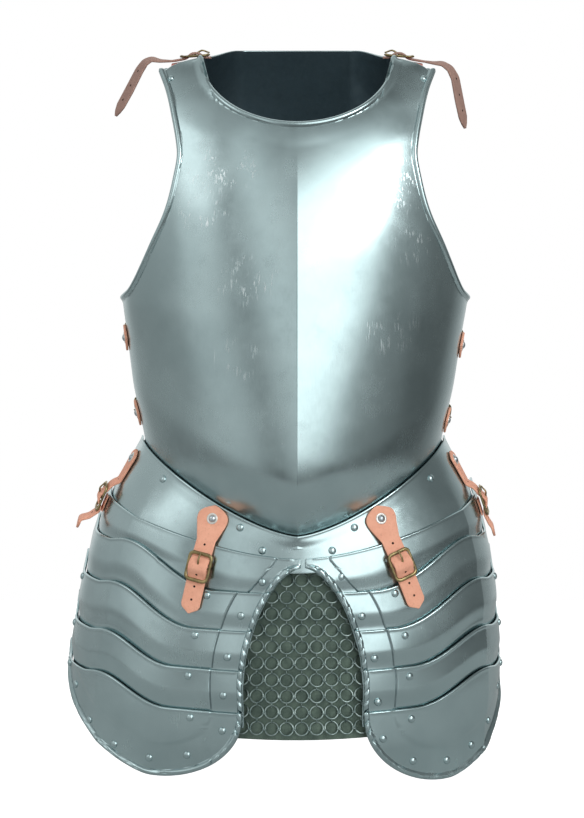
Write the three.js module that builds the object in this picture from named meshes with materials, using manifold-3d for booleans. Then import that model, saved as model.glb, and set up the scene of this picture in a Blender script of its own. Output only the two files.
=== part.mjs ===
// Steel cuirass with a waist lame, two five-lame tassets, a mail skirt and leather straps.
// Millimetres, +Z up, front towards -Y. "left" is the -X side, on the left seen from the front.
// Heights are worked out from the waist at the sides, and the whole is then moved so that the
// origin lies between the shoulders, where the wearer carries it.
import * as THREE from "three";
import { mergeVertices } from "three/addons/utils/BufferGeometryUtils.js";
import Module from "manifold-3d";

const wasm = await Module();
wasm.setup();

// Driving dimensions
const SHEET = 1.5; // steel sheet thickness
const LAP_GAP = 2.8; // from one plate's outer face to the next one's, where plates lap
const SHOULDER_HEIGHT = 412; // shoulders above the waist at the sides
const WAIST_HALF_WIDTH = 160;
const WAIST_FRONT_DEPTH = 134;
const WAIST_BACK_DEPTH = 94;
const WAIST_SIDE_Z = 7;
const WAIST_V_DROP = 81; // the waist line dips to a point in front
const WAIST_V_POWER = 1.5;
const RIDGE_HALF_WIDTH = 110;
const FLANGE = 12; // breastplate and backplate turn out under the waist plates
const ARMHOLE_BOTTOM_Z = 157;
const SIDE_WRAP_DEG = 97; // the breastplate runs a little past the side
const BACK_WRAP_DEG = 94;
const BACK_INSET = 3.2; // the backplate's sides slip inside the breastplate
const NECK_HALF_WIDTH = 99;
const NECK_DEPTH = 66;
const SHOULDER_INNER_Z = 415;
const SHOULDER_OUTER_Z = 401;
const NAPE_Z = 422;
const TORSO_RADIUS = 160; // turns a distance round the torso into an angle
const SKIRT_TURN_DEG = 3; // the tassets hang turned a little to the right
const SKIRT_LEAN = 0.047; // and the left one hangs out further than the right one
const LEAN_LENGTH = 270;
const ARCH_HALF_WIDTH = 62; // the gap over the mail
const ARCH_TOP_Z = -104;
const ARCH_SPRING_Z = -225;
const ARCH_CENTRE_X = 6;
const LAME_STEP = 3; // each lame's top edge stands this far proud of the one above
const LAME_OVERLAP = 14;
const BORDER_WIDTH = 34; // sunk border along the arch
const BORDER_DEPTH = 1;
const TAIL_END_DEG = 110; // lames run back past the side
const LAST_TAIL_END_DEG = 104; // the lowest lame a little less far
const MAIL_THICKNESS = 4;
const MAIL_OFFSET = -4.2; // its face lies behind the lames and their leathers
const MAIL_HEM_Z = -285;
const MAIL_HALF_WIDTH = 82;
const RIVET_RADIUS = 3.9;
const RIVET_HEIGHT = 2.4;
const STRAP_THICKNESS = 2.5;
const STRAP_WIDTH = 21;
const BUCKLE_WIRE = 1.35; // radius
const BUCKLE_WIDTH = 27;
const BUCKLE_LENGTH = 28;
const CLEAR = 0.35;
const PRONG = 2;
const BAR = 2.2; // a buckle's centre bar, across each way
const CHAPE_THICKNESS = 1.6;
const LINING_THICKNESS = 1.5;
const LINING_WIDTH = 18;
const BRIDGE_WIDTH = 28;
const BRIDGE_X = 119;
const BRIDGE_TOP_Z = 410;
const BRIDGE_LEAN_DEG = 10;

// Rivets of the waist plate on one side, by x and height.
const FAULD_RIVETS = [
  { x: 59, z: -66 },
  { x: 36, z: -88 },
  { x: 141, z: -24 },
];
// Rivets in the sunk border of lames 1 to 5: distance from the arch, height, and the face's step.
const BORDER_RIVETS = {
  left: [
    { inset: 17, z: -119, offset: 1.8 },
    { inset: 18, z: -154, offset: 2.2 },
    { inset: 19, z: -197, offset: 2.2 },
    { inset: 20, z: -237, offset: 2.2 },
    { inset: 21, z: -274, offset: 3 },
  ],
  right: [
    { inset: 19, z: -114, offset: 1.8 },
    { inset: 14, z: -155, offset: 2.2 },
    { inset: 14, z: -199, offset: 2.2 },
    { inset: 15, z: -245, offset: 2.2 },
    { inset: 20, z: -284, offset: 3 },
  ],
};
// Rivets near the top edge of lames 2 to 5.
const EDGE_RIVETS = {
  left: [
    { inset: 62, z: -135 },
    { inset: 57, z: -176.5 },
    { inset: 56, z: -219 },
    { inset: 54, z: -262.5 },
  ],
  right: [
    { inset: 58, z: -134 },
    { inset: 50, z: -178 },
    { inset: 47, z: -221 },
    { inset: 49, z: -266 },
  ],
};
// Rivets along the hem of lame 5, by angle and height.
const HEM_RIVETS = {
  left: [
    { deg: 28, z: -303 },
    { deg: 39, z: -311 },
    { deg: 51, z: -303 },
    { deg: 61.5, z: -283 },
    { deg: 72, z: -252 },
  ],
  right: [
    { deg: 33.5, z: -312 },
    { deg: 46, z: -318 },
    { deg: 57, z: -308 },
    { deg: 67, z: -288 },
    { deg: 77, z: -257 },
  ],
};
const REAR_LINING_DEG = 84;
// Shoulder strap from the neck outwards: x, height, lean outwards, turn to the front and width w.
const SHOULDER_STRAP = [
  { x: 91, z: 414.6, lean: 2 },
  { x: 98, z: 414.6, lean: 2 },
  { x: 104.5, z: 419.3, lean: 4 },
  { x: 111, z: 418.9, lean: 4 },
  { x: 117.5, z: 413.6, lean: 8 },
  { x: 122, z: 412.5, lean: 8 },
  { x: 132, z: 410.8, lean: 8 },
];
const SHOULDER_END = {
  left: [
    { x: 145, z: 411, lean: 0, turn: 5 },
    { x: 154, z: 413, lean: 5, turn: 12 },
    { x: 161, z: 409.5, lean: 35, turn: 20 },
    { x: 167, z: 401, lean: 58, turn: 26 },
    { x: 178, z: 380, lean: 64, turn: 28 },
    { x: 187, z: 364, lean: 64, turn: 28, w: 19 },
    { x: 190.5, z: 357.5, lean: 64, turn: 28, w: 12 },
    { x: 192.5, z: 353, lean: 64, turn: 28, w: 3 },
  ],
  right: [
    { x: 145, z: 408.8, lean: 4, turn: 5 },
    { x: 154, z: 408.2, lean: 12, turn: 12 },
    { x: 162, z: 403, lean: 42, turn: 20 },
    { x: 167.5, z: 393, lean: 66, turn: 26 },
    { x: 172, z: 370, lean: 78, turn: 28 },
    { x: 176, z: 352, lean: 78, turn: 28, w: 19 },
    { x: 177.5, z: 345, lean: 78, turn: 28, w: 12 },
    { x: 178.5, z: 340, lean: 78, turn: 28, w: 3 },
  ],
};
const SHOULDER_BUCKLE = { x: 108, z: 416.5 };
const SHOULDER_LEAN_DEG = 4;

// Height, half width, front depth, back depth, depth at the nape, and how far the sides stand
// to the left of the ridge: the body leans a little.
const TORSO = [
  { z: -90, half: 167, front: 158, back: 100, nape: 100, sway: -4 },
  { z: 0, half: 165, front: 160, back: 100, nape: 100, sway: -4 },
  { z: 27, half: 167.5, front: 159, back: 104, nape: 104, sway: -4 },
  { z: 76, half: 173.5, front: 156, back: 112, nape: 112, sway: -3.6 },
  { z: 125, half: 180, front: 152, back: 119, nape: 119, sway: -2.8 },
  { z: 162, half: 185, front: 148, back: 122, nape: 122, sway: -2 },
  { z: 220, half: 187, front: 140, back: 122, nape: 124, sway: 0 },
  { z: 280, half: 187, front: 124, back: 114, nape: 120, sway: 0 },
  { z: 330, half: 187, front: 102, back: 96, nape: 108, sway: 0 },
  { z: 365, half: 187, front: 77, back: 76, nape: 97, sway: 0 },
  { z: 390, half: 187, front: 52, back: 52, nape: 86, sway: 0 },
  { z: 405, half: 187, front: 34, back: 34, nape: 78, sway: 0 },
  { z: 418, half: 187, front: 15, back: 16, nape: 70, sway: 0 },
  { z: 430, half: 187, front: 6, back: 8, nape: 63, sway: 0 },
];
// Angle from the centre line at which the armhole's edge lies at each height.
const ARMHOLE = [
  { z: 157, deg: 97 },
  { z: 160, deg: 92 },
  { z: 163, deg: 86 },
  { z: 167, deg: 79 },
  { z: 173, deg: 71.6 },
  { z: 182, deg: 66.5 },
  { z: 196, deg: 61.6 },
  { z: 221, deg: 55 },
  { z: 258, deg: 46.9 },
  { z: 300, deg: 42.3 },
  { z: 320, deg: 41.5 },
  { z: 360, deg: 44.6 },
  { z: 382, deg: 47.2 },
  { z: 401, deg: 50.8 },
  { z: 430, deg: 56 },
];
// Rolled edge: its height over the sheet at each step in from the edge.
const BEAD = [
  { step: 0, height: 0.8 },
  { step: 2.4, height: 3.4 },
  { step: 5.2, height: 2.6 },
  { step: 8, height: 0 },
];
const BEAD_ANGLE = 8.4 / TORSO_RADIUS;
// The ridge's rise at each height above the waist line.
const RIDGE = [
  { h: 0, rise: 8 },
  { h: 60, rise: 16 },
  { h: 150, rise: 15 },
  { h: 240, rise: 12 },
  { h: 330, rise: 8 },
  { h: 398, rise: 0 },
];
// How far the skirt stands out below the waist line, at the side and in front.
const FLARE = [
  { d: 0, side: 0, front: 0 },
  { d: 28, side: 15, front: 8 },
  { d: 58, side: 30.5, front: 14 },
  { d: 103, side: 45.5, front: 20 },
  { d: 145, side: 56, front: 25 },
  { d: 190, side: 62.5, front: 27 },
  { d: 235, side: 67.5, front: 28 },
  { d: 345, side: 68.5, front: 29 },
];
// Top edge of each lame: height at the arch, rise to the hip crease, where the rise starts,
// and the further rise along the tail.
const LAMES = [
  { top: -131, rise: 44, from: 24, tail: 6 },
  { top: -171, rise: 39, from: 29, tail: 10 },
  { top: -212, rise: 29, from: 34, tail: 16 },
  { top: -256, rise: 28, from: 34, tail: 22 },
];
const LAME_1_TOP = -96;
const LAME_1_RISE = 45;
const LAME_1_POWER = 1.87;
const HEM_Z = { left: -329, right: -337 };
const HEM_ROUNDING = 100;
const HEM_RISE = { from: 105, rate: 0.06, power: 1.45 };
const CREASE_DEG = 60.5;
const CREASE_HEIGHT = 7;
const CREASE_SPREAD_DEG = 15;
const CULET_HEIGHT = 74;
const CULET_FLARE = 0.8;
const CULET_EDGE_DEG = 75; // it stops short of the breastplate's sides

// Materials
const metal = (hex, roughness) =>
  new THREE.MeshStandardMaterial({ color: hex, roughness, metalness: 1 });
const hide = (hex) =>
  new THREE.MeshStandardMaterial({ color: hex, roughness: 0.8, metalness: 0 });
const STEEL = metal(0x8f9fa3, 0.28);
const MAIL = metal(0x55655f, 0.45);
const BRASS = metal(0x8a7440, 0.4);
const LEATHER = hide(0xd98a72);

// Small helpers
const rad = THREE.MathUtils.degToRad;
const V = (x, y, z) => new THREE.Vector3(x, y, z);
const clamp01 = (u) => Math.min(1, Math.max(0, u));
const smooth = (u) => clamp01(u) ** 2 * (3 - 2 * clamp01(u));
const mix = (a, b, u) => a + (b - a) * u;
const spread = (from, to, count) =>
  Array.from({ length: count }, (_, i) => mix(from, to, i / (count - 1)));

/** Smooth value of one named column of a table at a given key. */
function look(table, key, column, at) {
  const last = table.length - 1;
  if (at <= table[0][key]) return table[0][column];
  if (at >= table[last][key]) return table[last][column];
  const i = table.findIndex((row) => row[key] > at) - 1;
  const row = (k) => table[Math.min(last, Math.max(0, k))];
  const slope = (k) => {
    const a = row(k - 1);
    const b = row(k + 1);
    return (b[column] - a[column]) / (b[key] - a[key]);
  };
  const step = table[i + 1][key] - table[i][key];
  const u = (at - table[i][key]) / step;
  const [u2, u3] = [u * u, u * u * u];
  return (
    (2 * u3 - 3 * u2 + 1) * table[i][column] +
    (u3 - 2 * u2 + u) * step * slope(i) +
    (3 * u2 - 2 * u3) * table[i + 1][column] +
    (u3 - u2) * step * slope(i + 1)
  );
}

/** Unit normals of a grid of points, on the side given by (next row) x (next column). */
function gridNormals(grid) {
  const rows = grid.length;
  const columns = grid[0].length;
  return grid.map((line, i) =>
    line.map((_, j) => {
      const up = grid[Math.min(rows - 1, i + 1)][j].clone().sub(grid[Math.max(0, i - 1)][j]);
      const across = line[Math.min(columns - 1, j + 1)].clone().sub(line[Math.max(0, j - 1)]);
      return across.cross(up).normalize();
    }),
  );
}

/** Closed solid between two grids of points. */
function shellGeometry(outer, inner) {
  const rows = outer.length;
  const columns = outer[0].length;
  const position = [...outer.flat(), ...inner.flat()].flatMap((p) => [p.x, p.y, p.z]);
  const o = (i, j) => i * columns + j;
  const n = (i, j) => rows * columns + i * columns + j;
  const index = [];
  const quad = (a, b, c, d) => index.push(a, b, c, a, c, d);
  for (let i = 0; i < rows - 1; i++) {
    for (let j = 0; j < columns - 1; j++) {
      quad(o(i, j), o(i, j + 1), o(i + 1, j + 1), o(i + 1, j));
      quad(n(i, j), n(i + 1, j), n(i + 1, j + 1), n(i, j + 1));
    }
  }
  for (let j = 0; j < columns - 1; j++) {
    quad(o(0, j + 1), o(0, j), n(0, j), n(0, j + 1));
    quad(o(rows - 1, j), o(rows - 1, j + 1), n(rows - 1, j + 1), n(rows - 1, j));
  }
  for (let i = 0; i < rows - 1; i++) {
    quad(o(i, 0), o(i + 1, 0), n(i + 1, 0), n(i, 0));
    quad(o(i + 1, columns - 1), o(i, columns - 1), n(i, columns - 1), n(i + 1, columns - 1));
  }
  const geometry = new THREE.BufferGeometry();
  geometry.setAttribute("position", new THREE.Float32BufferAttribute(position, 3));
  geometry.setIndex(index);
  return facingOut(geometry);
}

/** Turns the faces round if the solid is inside out. */
function facingOut(geometry) {
  const p = geometry.getAttribute("position");
  const index = geometry.index.array;
  const [a, b, c] = [V(), V(), V()];
  let volume = 0;
  for (let i = 0; i < index.length; i += 3) {
    [a, b, c].forEach((v, k) => v.fromBufferAttribute(p, index[i + k]));
    volume += a.dot(b.cross(c));
  }
  if (volume < 0) {
    for (let i = 0; i < index.length; i += 3) {
      [index[i + 1], index[i + 2]] = [index[i + 2], index[i + 1]];
    }
  }
  return geometry;
}

/** A plate: the grid is its outer face, raise(i, j) lifts that face, and the inside stays plain. */
function plate(grid, thickness, raise = () => 0, known = (i, j, n) => n) {
  let normals = gridNormals(grid).map((line, i) => line.map((n, j) => known(i, j, n)));
  const middle = grid[Math.floor(grid.length / 2)];
  const j = Math.floor(middle.length / 4);
  const outward = V(middle[j].x, middle[j].y, 0);
  const n = normals[Math.floor(grid.length / 2)][j];
  if (n.dot(outward) < 0) normals = normals.map((line) => line.map((v) => v.negate()));
  const moved = (by) =>
    grid.map((line, i) => line.map((p, k) => p.clone().addScaledVector(normals[i][k], by(i, k))));
  return shellGeometry(moved(raise), moved(() => -thickness));
}

/** A geometry as a manifold solid. */
function solidOf(geometry) {
  const bare = new THREE.BufferGeometry();
  bare.setAttribute("position", geometry.getAttribute("position"));
  bare.setIndex(geometry.index);
  const merged = mergeVertices(bare, 1e-4);
  const vertProperties = new Float32Array(merged.getAttribute("position").array);
  const triVerts = new Uint32Array(merged.index.array);
  return new wasm.Manifold(new wasm.Mesh({ numProp: 3, vertProperties, triVerts }));
}

/** Several geometries fused into one. */
function fused(first, ...others) {
  let solid = solidOf(first);
  for (const other of others) solid = solid.add(solidOf(other));
  const mesh = solid.getMesh();
  const geometry = new THREE.BufferGeometry();
  geometry.setAttribute("position", new THREE.BufferAttribute(mesh.vertProperties.slice(), 3));
  geometry.setIndex(new THREE.BufferAttribute(mesh.triVerts.slice(), 1));
  return geometry;
}

function named(name, geometry, material) {
  const mesh = new THREE.Mesh(geometry, material);
  mesh.name = name;
  return mesh;
}

/** A dome head standing on a face at p, with its axis along n. */
function rivet({ p, n }, radius = RIVET_RADIUS) {
  const profile = [
    new THREE.Vector2(0, -1.1),
    new THREE.Vector2(radius, -1.1),
    new THREE.Vector2(radius, 0.35),
    new THREE.Vector2(radius * 0.62, RIVET_HEIGHT * 0.82),
    new THREE.Vector2(0, RIVET_HEIGHT),
  ];
  const dome = new THREE.LatheGeometry(profile, 6);
  const turn = new THREE.Quaternion().setFromUnitVectors(V(0, 1, 0), n);
  dome.applyMatrix4(new THREE.Matrix4().compose(p, turn, V(1, 1, 1)));
  dome.deleteAttribute("normal");
  dome.deleteAttribute("uv");
  return dome;
}

/** Point and outward normal of a surface given by an angle and a height. */
function faceAt(point, angle, z, offset = 0) {
  const across = point(angle + 0.004, z).sub(point(angle - 0.004, z));
  const up = point(angle, z + 0.8).sub(point(angle, z - 0.8));
  const p = point(angle, z);
  const n = across.cross(up).normalize();
  if (n.x * p.x + n.y * p.y < 0) n.negate();
  return { p: p.addScaledVector(n, offset), n };
}

// Torso surfaces

/** Height of the waist line in front at an angle from the centre. */
const waistZ = (angle) =>
  WAIST_SIDE_Z - WAIST_V_DROP * (1 - Math.abs(Math.sin(angle)) ** WAIST_V_POWER);

const ridgeShape = (x) => clamp01(1 - Math.abs(x) / RIDGE_HALF_WIDTH) ** 2;

/** Angle at which a plate ends at a height: its side below the armhole, the armhole above. */
const edgeAngle = (z, wrap) => Math.min(wrap, rad(look(ARMHOLE, "z", "deg", z)));

/** Sideways shift of the torso, which leaves the ridge where it is. */
const swayAt = (angle, z) => look(TORSO, "z", "sway", z) * Math.sin(angle) ** 2;

/** Breastplate point at an angle from the centre and a height. */
function breastPoint(angle, z) {
  const h = z - waistZ(angle);
  const out = 1 - (1 - clamp01(h / 70)) ** 2;
  const half = mix(WAIST_HALF_WIDTH, look(TORSO, "z", "half", z), out);
  const depth = mix(WAIST_FRONT_DEPTH, look(TORSO, "z", "front", z), out);
  const x = half * Math.sin(angle) + swayAt(angle, z);
  const rise = look(RIDGE, "h", "rise", h) * ridgeShape(x);
  return V(x, -depth * Math.cos(angle) - rise, z);
}

/** Backplate point at an angle from the centre of the back and a height. */
function backPoint(angle, z) {
  const half = look(TORSO, "z", "half", z) - BACK_INSET;
  const x = half * Math.sin(angle);
  const nape = 1 - smooth((Math.abs(x) - 55) / 50);
  const out = 1 - (1 - clamp01((z - WAIST_SIDE_Z) / 60)) ** 2;
  const full = mix(look(TORSO, "z", "back", z), look(TORSO, "z", "nape", z), nape);
  const depth = mix(WAIST_BACK_DEPTH, full, out);
  const waist = mix(WAIST_HALF_WIDTH - BACK_INSET, half, out);
  return V(waist * Math.sin(angle) + swayAt(angle, z), depth * Math.cos(angle), z);
}

/** Height of a bead at a distance from an edge. */
function beadAt(distance) {
  const i = BEAD.findIndex((row) => row.step > distance);
  if (i < 0) return 0;
  if (i === 0) return BEAD[0].height;
  return mix(BEAD[i - 1].height, BEAD[i].height, (distance - BEAD[i - 1].step) / BEAD[i].step);
}

/** Angle for a share c of the way to the edge; the outer columns give way at the armhole. */
function warp(c, edge, wrap) {
  const lost = 1 - edge / wrap;
  const power = lost > 0 ? Math.min(4, 0.88 / lost) : 4;
  return wrap * (c - lost * c ** Math.max(1, power));
}

/** Share of the way to the edge that gives a wanted angle at a height. */
function shareFor(angle, z, wrap) {
  const edge = edgeAngle(z, wrap) - BEAD_ANGLE;
  let [low, high] = [0, 1];
  for (let k = 0; k < 30; k++) {
    const middle = (low + high) / 2;
    if (warp(middle, edge, wrap - BEAD_ANGLE) < angle) low = middle;
    else high = middle;
  }
  return (low + high) / 2;
}

/**
 * Grid of a torso plate. Its columns end along the neck, the shoulder and then the armhole,
 * whose rolled edge takes the last columns; its rows are level round the armhole's foot.
 */
function torsoGrid({ wrap, neck, shoulderShares, rows, pointAt, lowZ, skirtAt, beadFrom }) {
  const corner = neck[neck.length - 1];
  const half = (z) => look(TORSO, "z", "half", z);
  const spacing = neck.length + shoulderShares.length;
  const columns = neck.map(({ x, z }, j) => ({
    low: j / spacing,
    top: shareFor(Math.asin(x / half(z)), z, wrap),
    z,
  }));
  for (const u of shoulderShares) {
    const from = columns[neck.length - 1].top;
    columns.push({
      low: columns.length / spacing,
      top: mix(from, 1, u),
      z: mix(corner.z, SHOULDER_OUTER_Z, u),
    });
  }
  for (const { step } of [...BEAD].reverse()) columns.push({ step, z: SHOULDER_OUTER_Z });
  const angleOf = (column, z) => {
    const edge = edgeAngle(z, wrap);
    if (column.step !== undefined) return edge - column.step / TORSO_RADIUS;
    const share = mix(column.low, column.top, smooth((z - 120) / 220));
    return warp(share, edge - BEAD_ANGLE, wrap - BEAD_ANGLE);
  };
  const lastStep = BEAD[BEAD.length - 1].step;
  const line = (column, sign) => {
    const low = lowZ(sign * angleOf(column, 0));
    const heights = [
      ...rows.low.map((u) => mix(low, rows.level[0], u)),
      ...rows.level,
      ...rows.high.map((u) => mix(rows.level[rows.level.length - 1], column.z - lastStep, u)),
      ...[...BEAD].reverse().map(({ step }) => column.z - step),
    ];
    const flange = [FLANGE, FLANGE / 2].map((d) => skirtAt(sign * angleOf(column, low), low, d));
    return [...flange, ...heights.map((z) => pointAt(sign * angleOf(column, z), z))];
  };
  const sideOf = (sign) => (column) => ({ column, sign, points: line(column, sign) });
  const right = columns.map(sideOf(1));
  const left = columns.slice(1).map(sideOf(-1));
  const lines = [...left.reverse(), ...right];
  const grid = right[0].points.map((_, i) => lines.map(({ points }) => points[i]));
  const last = grid.length - 1;
  const raise = (i, j) => {
    const index = columns.indexOf(lines[j].column);
    const step = last - i < BEAD.length ? BEAD[last - i].step : lastStep;
    const onNeck = index < neck.length ? beadAt(step) : 0;
    const fromEdge = lines[j].column.step ?? (index < columns.length - BEAD.length ? lastStep : 0);
    const risen = smooth((grid[i][j].z - beadFrom) / 10);
    return Math.max(onNeck, beadAt(fromEdge) * risen);
  };
  const angles = lines.map(({ column, sign }) => (z) => sign * angleOf(column, z));
  const known = (i, j, n) => {
    if (i < 4) return n;
    const { z } = grid[i][j];
    const own = faceAt(pointAt, angles[j](z), z).n;
    return own.dot(n) < 0 ? own.negate() : own;
  };
  return { grid, raise, known };
}

function breastplate() {
  const neck = [0, 15, 30, 44, 57, 69, 80, 90].map((deg) => ({
    x: NECK_HALF_WIDTH * Math.sin(rad(deg)),
    z: SHOULDER_INNER_Z - NECK_DEPTH * Math.cos(rad(deg)),
  }));
  const { grid, raise, known } = torsoGrid({
    wrap: rad(SIDE_WRAP_DEG),
    neck,
    shoulderShares: [0.45, 1],
    rows: {
      low: [0, 0.07, 0.16, 0.29, 0.46, 0.7],
      level: [140, 150, 157, 160, 163, 167, 173, 182, 196, 214],
      high: [0.17, 0.34, 0.5, 0.66, 0.8, 0.92],
    },
    pointAt: breastPoint,
    beadFrom: ARMHOLE_BOTTOM_Z - 4,
    lowZ: waistZ,
    skirtAt: (angle, z, d) => breastPoint(angle, z).add(skirtGrowth(angle, d, SKIRT_LEAN)),
  });
  return plate(grid, SHEET, raise, known);
}

function backplate() {
  const neck = [0, 30, 55, 75, 88, 95.5, NECK_HALF_WIDTH].map((x) => ({
    x,
    z: mix(NAPE_Z, SHOULDER_INNER_Z, smooth((x - 66) / 33)),
  }));
  const { grid, raise, known } = torsoGrid({
    wrap: rad(BACK_WRAP_DEG),
    neck,
    shoulderShares: [1],
    rows: {
      low: [0, 0.1, 0.25, 0.45, 0.72],
      level: [140, 157, 163, 172, 187, 207],
      high: [0.25, 0.5, 0.72, 0.9],
    },
    pointAt: backPoint,
    beadFrom: ARMHOLE_BOTTOM_Z + 12,
    lowZ: () => WAIST_SIDE_Z,
    skirtAt: (angle, z, d) => backPoint(angle, z).add(culetGrowth(angle, d)),
  });
  return plate(grid, SHEET, raise, known);
}

// Skirt surfaces. Angles run from the centre of the front, negative to the left.

/** How far a point of the skirt has moved from the waist line, d below it. */
function skirtGrowth(angle, d, lean) {
  const past = Math.max(0, Math.abs(angle) - Math.PI / 2);
  const side = look(FLARE, "d", "side", d);
  const front = look(FLARE, "d", "front", d);
  const across = past > 0 ? 1 : Math.abs(Math.sin(angle));
  const stretch = lean * Math.min(1, d / LEAN_LENGTH) * (WAIST_HALF_WIDTH + side);
  const x = Math.sign(angle) * (side - Math.sign(angle) * stretch) * across;
  const y = past > 0 ? front * past : -front * Math.cos(angle);
  return V(x, y, -d);
}

/** Waist line of the skirt, just outside the breastplate's. */
function skirtWaist(angle) {
  const past = Math.abs(angle) - Math.PI / 2;
  const low = waistZ(past > 0 ? Math.PI / 2 : angle);
  if (past > 0) {
    const x = Math.sign(angle) * (WAIST_HALF_WIDTH + LAP_GAP + 10 * past) + swayAt(Math.PI / 2, 0);
    return V(x, WAIST_FRONT_DEPTH * past, low);
  }
  const p = breastPoint(angle, low);
  const n = V(Math.sin(angle) / WAIST_HALF_WIDTH, -Math.cos(angle) / WAIST_FRONT_DEPTH, 0);
  return p.addScaledVector(n.normalize(), LAP_GAP);
}

/** Outward bulge that peaks at the hip crease. */
function creaseBulge(angle, d) {
  const turned = Math.abs(angle - rad(SKIRT_TURN_DEG));
  const away = Math.abs(turned - rad(CREASE_DEG)) / rad(CREASE_SPREAD_DEG);
  return CREASE_HEIGHT * smooth(d / 70) * Math.exp(-away) * smooth((2.4 - away) / 1.2);
}

/** A point of the skirt's surface at an angle and a height, moved out by an offset. */
function skirtPoint(angle, z, offset = 0) {
  const waist = skirtWaist(angle);
  const d = Math.max(0, waist.z - z);
  const p = waist.clone().add(skirtGrowth(angle, d, SKIRT_LEAN));
  p.z = z;
  const a = Math.sign(angle) * Math.min(Math.abs(angle), Math.PI / 2);
  const n = V(Math.sin(a) / 225, -Math.cos(a) / 162, 0).normalize();
  return p.addScaledVector(n, offset + creaseBulge(angle, d));
}

/** Distance of the arch's edge from its centre line at a height. */
function archHalfWidth(z) {
  if (z >= ARCH_TOP_Z - 0.5) return 3;
  const q = clamp01((z - ARCH_SPRING_Z) / (ARCH_TOP_Z - ARCH_SPRING_Z));
  return Math.max(3, ARCH_HALF_WIDTH * (1 - q ** 1.6) ** (1 / 1.8));
}

/** Angle of the skirt where its surface has a given x at a height. */
function angleAtX(x, z) {
  let [low, high] = [-Math.PI / 2, Math.PI / 2];
  for (let k = 0; k < 34; k++) {
    const middle = (low + high) / 2;
    if (skirtPoint(middle, z).x < x) low = middle;
    else high = middle;
  }
  return (low + high) / 2;
}

/** Top edge of lame number k (1 to 5) at an angle. */
function lameTop(k, angle, side) {
  const a = Math.abs(angle);
  const past = clamp01((a - Math.PI / 2) / (rad(TAIL_END_DEG) - Math.PI / 2));
  if (k === 1) {
    const s = Math.sin(Math.min(a, Math.PI / 2));
    return LAME_1_TOP + LAME_1_RISE * s ** LAME_1_POWER + 4 * past;
  }
  const lame = LAMES[k - 2];
  const crease = rad(CREASE_DEG) + side * rad(SKIRT_TURN_DEG);
  const from = rad(lame.from);
  const up = smooth((a - from) / (crease - from));
  const dip = smooth((a - crease) / rad(9)) * 4;
  return lame.top + lame.rise * up - dip + (lame.tail + 4) * past ** 1.3;
}

/** Bottom edge of lame number k at an angle and a distance along from the arch. */
function lameBottom(k, angle, side, along) {
  if (k < 5) return lameTop(k + 1, angle, side) - LAME_OVERLAP;
  const start = LAMES[3].top - 2;
  const bottom = side < 0 ? HEM_Z.left : HEM_Z.right;
  if (along < HEM_ROUNDING) {
    const u = 1 - along / HEM_ROUNDING;
    return mix(bottom, start, 1 - Math.sqrt(1 - u * u));
  }
  const beyond = Math.max(0, along - HEM_RISE.from);
  return bottom + HEM_RISE.rate * beyond ** HEM_RISE.power;
}

// Rolled edge of a lame along the arch.
const LAME_BEAD = [
  { along: 0, height: 0.6 },
  { along: 2.6, height: 3.2 },
  { along: 6, height: 0 },
];

/** Share of the full step at which lame 5 stands out, a distance below its top edge. */
const lastLameStep = (down) => smooth((75 - down) / 40);

/** One lame of a tasset. side is -1 on the left and 1 on the right. */
function lamePlate(k, side) {
  const turn = side * rad(SKIRT_TURN_DEG);
  const crease = rad(CREASE_DEG) + turn;
  const near = [0, 2.6, 6, 19, BORDER_WIDTH - 1.2, BORDER_WIDTH + 1.2];
  const far = [0.2, 0.42, 0.64, 0.84, 1];
  const back = [0.16, 0.36, 0.56, 0.78, 1];
  const columns = near.length + far.length + back.length;
  const rows = k === 5 ? [0, 0.1, 0.3, 0.5, 0.7, 0.86, 0.95, 1] : [0, 0.3, 0.52, 0.76, 1];
  const tail = rad(k === 5 ? LAST_TAIL_END_DEG : TAIL_END_DEG) + turn;

  const angleOf = (j, z) => {
    const inner = ARCH_CENTRE_X + side * archHalfWidth(z);
    if (j < near.length) return angleAtX(inner + side * near[j], z);
    const start = angleAtX(inner + side * (BORDER_WIDTH + 1.2), z);
    if (j < near.length + far.length) return mix(start, side * crease, far[j - near.length]);
    return mix(side * crease, side * tail, back[j - near.length - far.length]);
  };
  const along = [];
  const heights = [];
  let walked = 0;
  for (let j = 0; j < columns; j++) {
    let z = k === 1 ? LAME_1_TOP : LAMES[k - 2].top;
    for (let pass = 0; pass < 6; pass++) z = lameTop(k, angleOf(j, z), side);
    if (j > 0) {
      const here = skirtPoint(angleOf(j, z), z);
      const before = skirtPoint(angleOf(j - 1, z), z);
      walked += Math.hypot(here.x - before.x, here.y - before.y);
    }
    along.push(walked);
    let low = z - 40;
    for (let pass = 0; pass < 8; pass++) {
      low = Math.min(lameBottom(k, angleOf(j, low), side, walked), z - 6);
    }
    heights.push({ top: z, low });
  }
  const grid = rows.map((t) =>
    heights.map(({ top, low }, j) => {
      const z = mix(top, low, t);
      const proud = k === 5 ? lastLameStep(top - z) : smooth((0.72 - t) / 0.36);
      return skirtPoint(angleOf(j, z), z, LAME_STEP * proud);
    }),
  );
  const raise = (i, j) => {
    const covered = k === 5 ? 1 : smooth((0.8 - rows[i]) / 0.2);
    const bead = j < LAME_BEAD.length ? LAME_BEAD[j].height * covered : 0;
    const fromLow = (1 - rows[i]) * (heights[j].top - heights[j].low);
    const hem = k === 5 && i > 0 ? Math.max(0, 3 - Math.abs(fromLow - 2.6) * 1.1) : 0;
    const panel = j >= near.length - 1 ? 1 : 0;
    const deep = k === 5 ? smooth((fromLow - 26) / 3) : smooth((0.78 - rows[i]) / 0.1);
    return Math.max(bead, hem, BORDER_DEPTH * panel * deep);
  };
  return plate(grid, SHEET, raise);
}

/** Values and their negatives, in order, from a list that starts at zero. */
function symmetric(values) {
  return [...values.slice(1).map((v) => -v).reverse(), ...values];
}

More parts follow.
